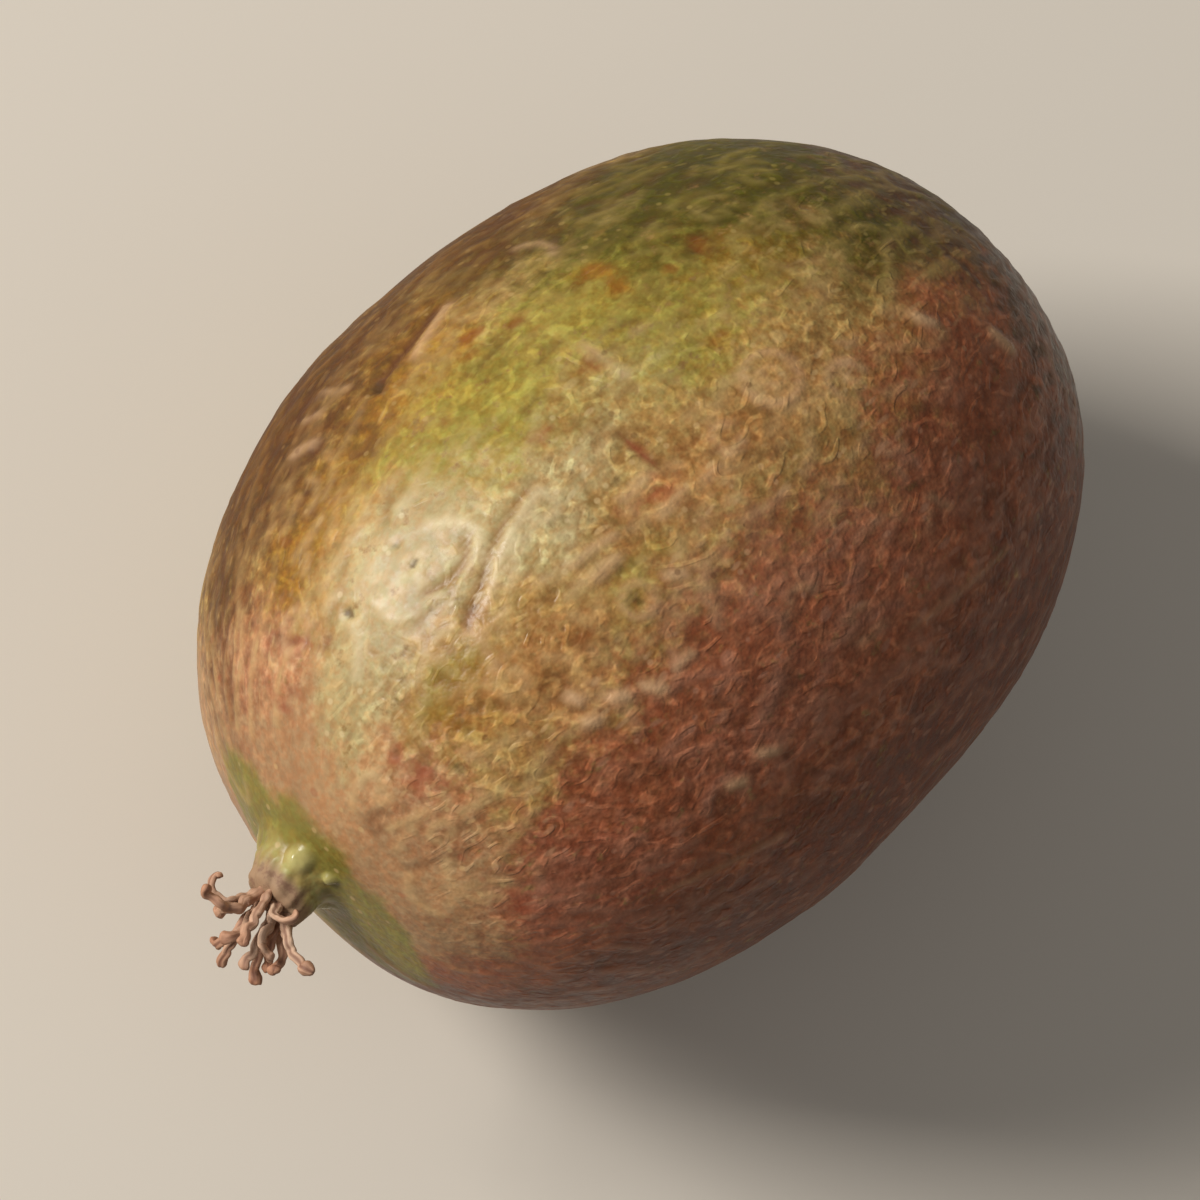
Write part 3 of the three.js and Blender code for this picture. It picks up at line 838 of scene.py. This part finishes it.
steps = np.hypot(*np.diff(profile, axis=0, prepend=profile[:1]).T)
run = np.repeat(np.cumsum(steps)[:, None], COLUMNS, axis=1)
grain = np.stack([GRAIN_STRETCH * run, GRAIN_RADIUS * np.cos(grid_turn), GRAIN_RADIUS * np.sin(grid_turn)],
                 -1)
set_values(berry, "grain", with_ends(grain), "FLOAT_VECTOR")
set_values(berry, "rest_mm", with_ends(grid), "FLOAT_VECTOR")
print("length of the skin from end to end, mm:", run.max().round(1))


# %% [markdown]
# ## The skin's finish
#
# The colours are laid one over another, from the straw ground to the green about the neck. A texture of
# streaks and flecks is added to each mask before it is used, so that where two colours meet they break up
# into one another, as the real skin's do. Over them go the finest marks, which are too small for the mesh:
# folds, short bars, pores and pale specks. The skin has a soft, waxy shine, duller where it is bronze, olive
# or cork, and glossier on the swellings of the neck.

# %% Colours of the skin
SKIN = {
    "straw": paint(169, 135, 81),
    "yellow green": paint(156, 139, 62),
    # olive green, deepened by painted shade
    "olive and painted shade": paint(78, 70, 8),
    "gold": paint(148, 106, 34),
    "shoulder": paint(180, 140, 103),
    # pale cream, partly a painted highlight
    "cream and painted highlight": paint(182, 161, 115),
    "ochre": paint(168, 122, 72),
    "blush": paint(158, 94, 64),
    # deep red-brown, partly painted shade
    "dark blush and painted shade": paint(112, 57, 32),
    "pink": paint(158, 94, 70),
    # dark brown, partly painted shade
    "bronze and painted shade": paint(88, 54, 16),
    # brown, partly painted shade
    "far brown and painted shade": paint(86, 54, 26),
    "crown green": paint(136, 124, 60),
    "neck": paint(168, 156, 98),
}
# Paler crests and darker hollows: partly the skin's own, partly painted highlight and painted shade.
CREST_COLOUR, VALLEY_COLOUR = paint(212, 178, 124), paint(88, 50, 26)
BLUSH_CREST, OLIVE_CREST = paint(186, 134, 108), paint(162, 142, 72)
# In the cream, the crests are partly a painted highlight and the hollows partly painted shade.
CREAM_CREST, CREAM_VALLEY = paint(222, 206, 164), paint(136, 92, 38)
BOLD_CREST, BRONZE_CREST = paint(212, 172, 130), paint(136, 96, 48)
RUST, RED, PIT_COLOUR = paint(130, 66, 20), paint(152, 70, 46), paint(74, 52, 22)
NECK_TIP, NECK_SHADE, CORK = paint(160, 130, 102), paint(118, 84, 68), paint(176, 146, 108)
DARK_CORK, CRACK_COLOUR = paint(126, 94, 64), paint(66, 42, 26)
# Pale yellow of the neck's swellings, partly a painted highlight where they catch the light.
PALE_SWELLING_AND_HIGHLIGHT = paint(192, 181, 118)
print("grounds of the skin:", len(SKIN))


# %% Folds and dots
def folds(recipe, vector, per_mm, count):
    """Pale squiggles, 1 on a line and 0 between, that run like the contour lines of a noise."""
    turned = recipe.times(recipe.noise(vector, per_mm, 0.0), 2 * math.pi * count)
    return recipe.ramp(recipe.math("COSINE", turned), 0.3, -0.9)


def bent(recipe, vector, per_mm, reach):
    """The same coordinates, shifted about by a noise, so that what is laid out by them wavers."""
    moves = recipe.noise(vector, per_mm, 1.0, output="Color")
    moves = recipe.vector_math("SUBTRACT", {0: moves, 1: (0.5, 0.5, 0.5)})
    moves = recipe.vector_math("SCALE", {0: moves, "Scale": 2 * reach})
    return recipe.vector_math("ADD", {0: vector, 1: moves})


def dots(recipe, vector, per_mm, radius, share):
    """Round dots in some of the cells of a random foam: their radius in mm, and the share of cells."""
    distance = recipe.add("ShaderNodeTexVoronoi", {"Vector": vector, "Scale": per_mm}, "Distance")
    draw = recipe.add("ShaderNodeSeparateColor", {0: distance.node.outputs["Color"]}, 0)
    dot = recipe.ramp(distance, 1.3 * radius * per_mm, 0.6 * radius * per_mm)
    return recipe.times(dot, recipe.math("LESS_THAN", draw, share))


# %% Values that the steps share
def skin_textures(recipe):
    """The coordinates, masks and textures that more than one step of the skin's recipe uses."""
    skin = SimpleNamespace(rest=recipe.stored("rest_mm", "Vector"), grain=recipe.stored("grain", "Vector"),
                           lengthwise=recipe.stored("lengthwise"), tip=recipe.stored("dry neck"),
                           cork=recipe.stored("cork"), glossy=recipe.stored("glossy"))
    skin.calm = recipe.minus(1.0, recipe.times(recipe.stored("calm"), 0.75))
    skin.rough = recipe.minus(1.0, recipe.times(recipe.stored("smooth"), 0.85))
    flecks = recipe.noise(skin.rest, 1.8, 3.0, 0.66)
    streaks = recipe.minus(recipe.noise(skin.grain, 1.6, 3.0, 0.62), 0.5)
    skin.streaks = recipe.plus(recipe.times(streaks, skin.lengthwise), 0.5)
    breakup = recipe.plus(recipe.times(flecks, 1.2), recipe.times(skin.streaks, 0.8))
    skin.breakup = recipe.times(recipe.minus(breakup, 1.0), skin.calm)
    fold = recipe.times(folds(recipe, skin.grain, 1.5, 3),
                        recipe.ramp(recipe.noise(skin.rest, 1.5, 1.0, 0.6), 0.45, 0.57))
    skin.fold = recipe.times(fold, recipe.times(skin.rough, skin.lengthwise))
    skin.mottle = recipe.noise(skin.rest, 2.2, 2.0, 0.6)
    skin.grains = recipe.noise(skin.rest, 4.5, 1.0, 0.5)
    print("nodes for the shared textures:", len(recipe.tree.nodes))
    return skin


# %% Grounds
def ground_colours(recipe, skin):
    """The broad colours one over another, broken up where they meet, then varied in tone."""
    colour = SKIN["straw"]
    for name in list(SKIN)[1:]:
        broken = recipe.plus(recipe.stored(name), recipe.times(skin.breakup, 0.9))
        colour = recipe.blend(recipe.ramp(broken, 0.08, 0.92), colour, SKIN[name])
    broad = recipe.ramp(recipe.noise(skin.rest, 0.4, 1.0, 0.6), 0.3, 0.7)
    colour = recipe.tint(colour, broad, (0.92, 0.91, 0.90), (1.08, 1.08, 1.06))
    streaked = recipe.plus(0.5, recipe.times(recipe.minus(skin.streaks, 0.5), skin.calm))
    colour = recipe.tint(colour, recipe.ramp(streaked, 0.32, 0.68), (0.90, 0.88, 0.85), (1.10, 1.11, 1.10))
    fine = recipe.ramp(recipe.noise(skin.rest, 2.4, 2.0, 0.7), 0.34, 0.66)
    print("nodes with the grounds:", len(recipe.tree.nodes))
    return recipe.tint(colour, fine, (1.04, 0.94, 0.86), (0.97, 1.05, 1.06))


# %% Folds, mottle and grains
def textured(recipe, skin, colour):
    """Pale folds, and a light and dark mottle that fades where the skin is smooth."""
    colour = recipe.tint(colour, skin.fold, (0.95, 0.93, 0.91), (1.36, 1.44, 1.48))
    mottle, grains = recipe.ramp(skin.mottle, 0.34, 0.66), recipe.ramp(skin.grains, 0.34, 0.66)
    mottled = recipe.tint(colour, mottle, (0.82, 0.77, 0.71), (1.15, 1.19, 1.23))
    mottled = recipe.tint(mottled, grains, (0.87, 0.84, 0.81), (1.11, 1.13, 1.14))
    print("nodes with the mottle:", len(recipe.tree.nodes))
    return recipe.blend(skin.rough, colour, mottled)


# %% Wrinkles
def crest_colour_of(recipe):
    """The colour of a wrinkle's crest, which suits the ground that it stands on."""
    greenness = recipe.math("MAXIMUM", recipe.stored("olive and painted shade"), recipe.stored("yellow green"))
    colour = CREST_COLOUR
    for ground, colour_there in ((recipe.stored("blush"), BLUSH_CREST), (greenness, OLIVE_CREST),
                                 (recipe.stored("cream and painted highlight"), CREAM_CREST),
                                 (recipe.stored("bronze and painted shade"), BRONZE_CREST)):
        colour = recipe.blend(ground, colour, colour_there)
    return colour


def wrinkled(recipe, colour, crest_colour):
    """Paler crests and darker hollows on the mesh's wrinkles, partly painted highlight and painted shade."""
    valley_colour = recipe.blend(recipe.stored("cream and painted highlight"), VALLEY_COLOUR, CREAM_VALLEY)
    bold_colour = recipe.blend(recipe.stored("cream and painted highlight"), BOLD_CREST, CREAM_CREST)
    for name, line_colour, cover in (("valley", valley_colour, 0.50), ("crest", crest_colour, 0.46),
                                     ("dark line", valley_colour, 0.70), ("pale line", bold_colour, 0.50)):
        colour = recipe.blend(recipe.times(recipe.stored(name), cover, True), colour, line_colour)
    print("nodes with the wrinkles:", len(recipe.tree.nodes))
    return colour


# %% Pores, specks, bars and stains
def speckled(recipe, skin, colour, crest_colour):
    """Dark pores, pale specks and short bars, red specks on the shoulder, and the larger stains and pits."""
    long_cells = recipe.vector_math("MULTIPLY", {0: skin.grain, 1: (0.7, 1.0, 1.0)})
    bars = recipe.times(dots(recipe, bent(recipe, long_cells, 1.2, 0.35), 2.4, 0.11, 0.45), skin.rough)
    bars = recipe.times(bars, skin.lengthwise)
    pores = recipe.times(dots(recipe, skin.rest, 1.3, 0.11, 0.16), skin.rough)
    specks = recipe.math("MAXIMUM", dots(recipe, skin.rest, 1.7, 0.11, 0.25), bars)
    red_specks = recipe.times(dots(recipe, skin.rest, 1.0, 0.17, 0.45), recipe.stored("shoulder"))
    for marked, colour_there, cover in ((pores, VALLEY_COLOUR, 0.45), (specks, crest_colour, 0.42),
                                        (red_specks, RED, 0.35)):
        colour = recipe.blend(recipe.times(marked, cover), colour, colour_there)
    for name, stain, cover in (("rust", RUST, 0.65), ("red", RED, 0.55), ("pit", PIT_COLOUR, 0.75)):
        broken = recipe.plus(recipe.stored(name), recipe.times(skin.breakup, 0.3))
        colour = recipe.blend(recipe.ramp(broken, 0.12, 1.0, 0.0, cover), colour, stain)
    print("nodes with the specks and stains:", len(recipe.tree.nodes))
    return colour


# %% Neck and scar
def ends_of_fruit(recipe, skin, colour):
    """The neck's swellings and its dry tip, and the cork of the scar with its cracks."""
    shade = recipe.ramp(recipe.noise(skin.rest, 2.6, 3.0, 0.6), 0.48, 0.64, 0.0, 0.6)
    cork = recipe.ramp(recipe.noise(skin.rest, 3.2, 3.0, 0.65), 0.40, 0.60)
    cork = recipe.blend(cork, DARK_CORK, CORK)
    cork = recipe.blend(recipe.times(recipe.stored("crack"), 0.7), cork, CRACK_COLOUR)
    # The swellings' pale colour is partly a painted highlight.
    for mask, colour_there in ((recipe.times(skin.glossy, 0.7), PALE_SWELLING_AND_HIGHLIGHT), (skin.tip, NECK_TIP),
                               (recipe.times(skin.tip, shade), NECK_SHADE), (skin.cork, cork)):
        colour = recipe.blend(mask, colour, colour_there)
    print("nodes with the neck and the scar:", len(recipe.tree.nodes))
    return colour


# %% Skin material
SKIN_BUMP = 0.00004      # how high the finest texture stands, in metres


def skin_finish():
    """The skin's material: its colours step by step, then its gloss, then its finest relief."""
    material, shader, recipe = new_material("thin waxy berry skin")
    skin, crest_colour = skin_textures(recipe), crest_colour_of(recipe)
    colour = textured(recipe, skin, ground_colours(recipe, skin))
    colour = wrinkled(recipe, colour, crest_colour)
    colour = ends_of_fruit(recipe, skin, speckled(recipe, skin, colour, crest_colour))
    recipe.feed(shader, "Base Color", colour)

    shader.inputs["Specular IOR Level"].default_value = 0.27
    roughness = recipe.ramp(skin.mottle, 0.34, 0.66, 0.33, 0.45)
    roughness = recipe.minus(roughness, recipe.times(skin.glossy, 0.20))
    for name, duller in (("crest", 0.06), ("bronze and painted shade", 0.25), ("olive and painted shade", 0.15)):
        roughness = recipe.plus(roughness, recipe.times(recipe.stored(name), duller))
    dry = recipe.times(recipe.plus(skin.tip, skin.cork), 0.35)
    recipe.feed(shader, "Roughness", recipe.plus(roughness, dry, True))

    uneven = recipe.plus(recipe.times(skin.grains, 0.6), skin.mottle)
    height = recipe.plus(recipe.times(skin.fold, 0.4), recipe.times(uneven, skin.rough))
    recipe.feed(shader, "Normal", recipe.bump(height, SKIN_BUMP))
    print("nodes in the skin's material:", len(material.node_tree.nodes))
    return material


berry.data.materials.append(skin_finish())

# %% Put the fruit in the frame
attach(berry, "root")
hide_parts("berry")
print("in the frame:", berry.name)

# %% [markdown]
# ## The dried styles
#
# Each style is what is left of one thread of the flower: chunky for its length, shrunk and creased as it
# dried, bent over, with a knob at its tip. It follows the same line as the style of the frame, and runs a
# little way into the neck, so that nothing floats. A curve with a bevel would give a plain pipe, so the
# rings are made one by one: flattened, creased along their length, twisted, and swollen at the tip.

# %% Sizes of the styles
STYLE_RADIUS, STYLE_GAP, STYLE_STEPS = 0.18, 0.06, 12
OUTER_STYLES = {"count": 10, "ring": 0.84, "lean": 0.5, "bend": 1.25, "length": 1.9}
INNER_STYLES = {"count": 4, "ring": 0.36, "lean": 0.25, "bend": 1.1, "length": 2.0}
TURN_VARIETY, LEAN_VARIETY, BEND_VARIETY, SWIRL_VARIETY, LENGTH_VARIETY = 0.14, 0.3, 1.2, 1.3, 0.45
STYLE_HOOK = 1.4         # how much of the bend comes late, as a hook
STYLE_SPREAD = 46093     # picks one of the many possible tufts
ROOT_DEPTH = 0.35        # how far a style runs into the neck

tuft_axis = np.array([-1, -NECK_LEAN, 0]) / math.hypot(1, NECK_LEAN)
tuft_across = np.array([-NECK_LEAN, 1, 0]) / math.hypot(1, NECK_LEAN)
tuft_up = np.array([0, 0, 1.0])
neck_tip = np.array([NECK_END - NECK_DOME, -NECK_LEAN * NECK_LENGTH, AXIS_HEIGHT]) + offset
print("tip of the neck, mm:", neck_tip.round(2))


# %% The line of each style
def scatter(index, kind):
    """The same even scatter between -1 and 1 that the frame's styles have."""
    value = math.sin(12.9898 * (index + 1) + 78.233 * kind) * 43758.5453
    return 2 * (value - math.floor(value)) - 1


def around_tuft(turn):
    """The direction straight out from the tuft's axis at a turn round it."""
    return tuft_across * math.cos(turn) + tuft_up * math.sin(turn)


def style_line(index):
    """Points down the middle of a style, from its root."""
    outer = index < OUTER_STYLES["count"]
    kind = OUTER_STYLES if outer else INNER_STYLES
    place = index if outer else index - OUTER_STYLES["count"] + 0.5
    vary = [scatter(index, STYLE_SPREAD + number) for number in range(1, 6)]
    first_turn = 2 * math.pi * place / kind["count"] + TURN_VARIETY * vary[0]
    first_lean = kind["lean"] + LEAN_VARIETY * vary[1]
    bend = kind["bend"] + BEND_VARIETY * vary[2]
    stride = (kind["length"] + LENGTH_VARIETY * vary[4]) / STYLE_STEPS
    line = [neck_tip + tuft_axis * (STYLE_GAP + STYLE_RADIUS) + around_tuft(first_turn) * kind["ring"]]
    for step in range(1, STYLE_STEPS + 1):
        part = (step - 0.5) / STYLE_STEPS
        lean, turn = first_lean + STYLE_HOOK * bend * part ** 2, first_turn + SWIRL_VARIETY * vary[3] * part
        line.append(line[-1] + stride * (tuft_axis * math.cos(lean) + around_tuft(turn) * math.sin(lean)))
    into_neck = line[0] - line[1]
    depth = STYLE_GAP + STYLE_RADIUS + ROOT_DEPTH
    return np.array([line[0] + into_neck * depth / np.linalg.norm(into_neck)] + line)


print("reach of the first style from the neck's tip, mm:",
      np.linalg.norm(style_line(0)[-1] - neck_tip).round(2))

# %% A smooth line
def smooth_line(line, count):
    """count points, evenly spaced, on a smooth curve through the points of a line."""
    padded = np.concatenate([[2 * line[0] - line[1]], line, [2 * line[-1] - line[-2]]])
    fine = []
    for a, b, c, d in zip(padded[:-3], padded[1:-2], padded[2:-1], padded[3:]):
        for t in np.linspace(0, 1, 12, endpoint=False):
            fine.append(0.5 * (2 * b + (c - a) * t + (2 * a - 5 * b + 4 * c - d) * t ** 2
                               + (3 * b - a - 3 * c + d) * t ** 3))
    fine = np.array(fine + [line[-1]])
    run = np.concatenate([[0], np.cumsum(np.linalg.norm(np.diff(fine, axis=0), axis=1))])
    places = np.linspace(0, run[-1], count)
    return np.stack([np.interp(places, run, fine[:, axis]) for axis in range(3)], 1)


print("length of the first style, mm:",
      np.linalg.norm(np.diff(smooth_line(style_line(0), 40), axis=0), axis=1).sum().round(2))

# %% Directions across a line
def directions_across(line):
    """Two directions square to a line and to each other at each of its points, without needless twist."""
    heading = np.gradient(line, axis=0)
    heading /= np.linalg.norm(heading, axis=1, keepdims=True)
    side = np.cross(heading[0], tuft_up)
    sides = []
    for direction in heading:
        side = side - direction * (side @ direction)
        side /= np.linalg.norm(side)
        sides.append(side)
    return np.array(sides), np.cross(heading, sides)


print("directions at the root of the first style:", directions_across(style_line(0))[0][0].round(2),
      directions_across(style_line(0))[1][0].round(2))

# %% How thick a style is
# Thicknesses are shares of STYLE_RADIUS, places and lengths are shares of the style's length.
ROOT_GIRTH, THINNING, GIRTH_UNEVENNESS = 1.06, 0.22, 0.2
KNOB_PLACE, KNOB_LENGTH, KNOB_SIZE, KNOB_VARIETY = 0.93, 0.055, 0.20, 0.12
TIP_PLACE, TIP_LENGTH = 0.955, 0.05          # where the end begins to be rounded off, and how long that takes


def style_girth(index, line, part, knob):
    """A style's radius at each ring: slimmer beyond the root, swollen at the knob, rounded at the tip."""
    knob_size = KNOB_SIZE + KNOB_VARIETY * scatter(index, 33)
    girth = ROOT_GIRTH - THINNING * smoothstep(0, 0.6, part) + knob_size * knob
    girth *= STYLE_RADIUS
    girth *= 1 + GIRTH_UNEVENNESS * wander(line, 0.3, 110 + index)
    return girth * np.sqrt(np.clip(1 - np.clip((part - TIP_PLACE) / TIP_LENGTH, 0, 1) ** 2, 0.02, 1))


print("knobs swell by, share of the radius:", round(KNOB_SIZE - KNOB_VARIETY, 2), "to",
      round(KNOB_SIZE + KNOB_VARIETY, 2))

# %% Creases of a style
CREASES = [(0, 0.14, 1.0), (2.3, 0.10, 0.7)]     # each has a turn, a width and a depth


def style_creases(around, part):
    """How deep each point of a style lies in one of its lengthwise creases, from 0 to 1."""
    crease = sum(depth * np.exp(-((np.cos(around - turn) - 1) / width) ** 2)
                 for turn, width, depth in CREASES)
    return crease * smoothstep(0.02, 0.2, part)[:, None]


print("creases on each style:", len(CREASES))

# %% The rings of a style
STYLE_ROWS, STYLE_SIDES = 64, 18
CRINKLE, LUMPS = 0.10, 0.13          # how far the line wavers, and how lumpy the surface is
TWIST, START_VARIETY = 2.2, 3        # how far a style may twist, and how far its first crease may be turned
CREASE_DEPTH, FLATNESS, KNOB_LOBES = 0.34, 0.16, 0.16
style_angle = np.arange(STYLE_SIDES) * 2 * math.pi / STYLE_SIDES


def style_rings(index):
    """The rings of one style, the share of its length at each, and how deep each point lies in a crease."""
    middle_line = smooth_line(style_line(index), STYLE_ROWS)
    part = np.linspace(0, 1, STYLE_ROWS)
    crinkle = np.stack([wander(middle_line, 0.42, 60 + 3 * index + axis) for axis in range(3)], 1)
    middle_line += CRINKLE * crinkle * smoothstep(0.1, 0.4, part)[:, None]
    sides, others = directions_across(middle_line)
    twist = TWIST * scatter(index, 31) * part + START_VARIETY * scatter(index, 32)
    knob = np.exp(-((part - KNOB_PLACE) / KNOB_LENGTH) ** 2)
    girth = style_girth(index, middle_line, part, knob)
    around = style_angle[None] + twist[:, None]
    crease = style_creases(around, part)
    flat = 1 - FLATNESS * np.cos(2 * around)
    lobes = KNOB_LOBES * knob[:, None] * np.cos(3 * around)
    reach = girth[:, None] * flat * (1 - CREASE_DEPTH * crease + lobes)
    cosine, sine = (wave(style_angle)[None, :, None] for wave in (np.cos, np.sin))
    rings = middle_line[:, None] + reach[..., None] * (cosine * sides[:, None] + sine * others[:, None])
    lumps = LUMPS * girth[:, None] * wander(rings, 0.22, 40 + index)
    away = rings - middle_line[:, None]
    rings = rings + away / np.maximum(np.linalg.norm(away, axis=-1, keepdims=True), 1e-6) * lumps[..., None]
    return rings, part, crease


print("points of each style:", STYLE_ROWS * STYLE_SIDES + 2)

# %% [markdown]
# The styles have dried to a matt, pinkish tan, darker in the creases, partly as painted shade, and browner
# towards some of the tips.
# No two are quite the same tone. Fourteen materials could say so, but then every change would be made
# fourteen times, so each style keeps a tone of its own with its mesh, and one material reads it.

# %% Dry fibre material
FIBRE_BUMP = 0.00002     # how high the finest texture stands, in metres


def fibre_finish():
    """The styles' material, which reads each style's own tone, creases and place along its length."""
    material, shader, recipe = new_material("dry fibre")
    stored, ramp, blend = recipe.stored, recipe.ramp, recipe.blend
    place, part = stored("fibre_mm", "Vector"), stored("part")
    streaks = ramp(recipe.noise(place, 5.0, 4.0, 0.65), 0.3, 0.7)
    colour = blend(stored("tone"), paint(208, 177, 152), paint(180, 128, 98))
    colour = blend(ramp(part, 0.55, 1.0, 0.0, 0.45), colour, paint(170, 106, 70))
    colour = recipe.tint(colour, streaks, (0.74, 0.66, 0.60), (1.14, 1.16, 1.16))
    # Darker in the creases: partly the fibre's own brown, partly painted shade.
    colour = blend(recipe.times(stored("crease"), 0.7, True), colour, paint(104, 60, 44))
    colour = blend(ramp(part, 0.2, 0.08, 0.0, 0.5), colour, paint(150, 110, 84))
    recipe.feed(shader, "Base Color", colour)
    recipe.feed(shader, "Roughness", ramp(streaks, 0.0, 1.0, 0.62, 0.82))
    recipe.feed(shader, "Normal", recipe.bump(recipe.noise(place, 9.0, 3.0, 0.6), FIBRE_BUMP))
    print("nodes in the fibre's material:", len(material.node_tree.nodes))
    return material


# %% Make the styles
FIBRE_LENGTH, FIBRE_ROUND = 0.9, 0.3     # a style's length and radius in the coordinates of its streaks
fibre = fibre_finish()
style_nodes = sorted(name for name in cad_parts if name.startswith("dry_style_"))
print("styles in the frame:", len(style_nodes))
for index, node in enumerate(style_nodes):
    rings, part, crease = style_rings(index)
    style = solid_from_rings(node.replace("dry", "curled"), rings, rings[0].mean(0), rings[-1].mean(0))
    rows = part[:, None] + 0 * crease
    tone = np.clip(0.35 + 0.5 * scatter(index, 34), 0, 1)
    fibre_mm = np.stack([FIBRE_LENGTH * rows + index, FIBRE_ROUND * np.cos(style_angle) + 0 * rows,
                         FIBRE_ROUND * np.sin(style_angle) + 0 * rows], -1)
    for name, values in (("part", rows), ("crease", crease), ("tone", tone + 0 * rows)):
        set_values(style, name, with_ends(values))
    set_values(style, "fibre_mm", with_ends(fibre_mm), "FLOAT_VECTOR")
    style.data.materials.append(fibre)
    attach(style, "root")
    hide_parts(node)
print("last style, mm: from", rings.min((0, 1)).round(2), "to", rings.max((0, 1)).round(2))

# %% [markdown]
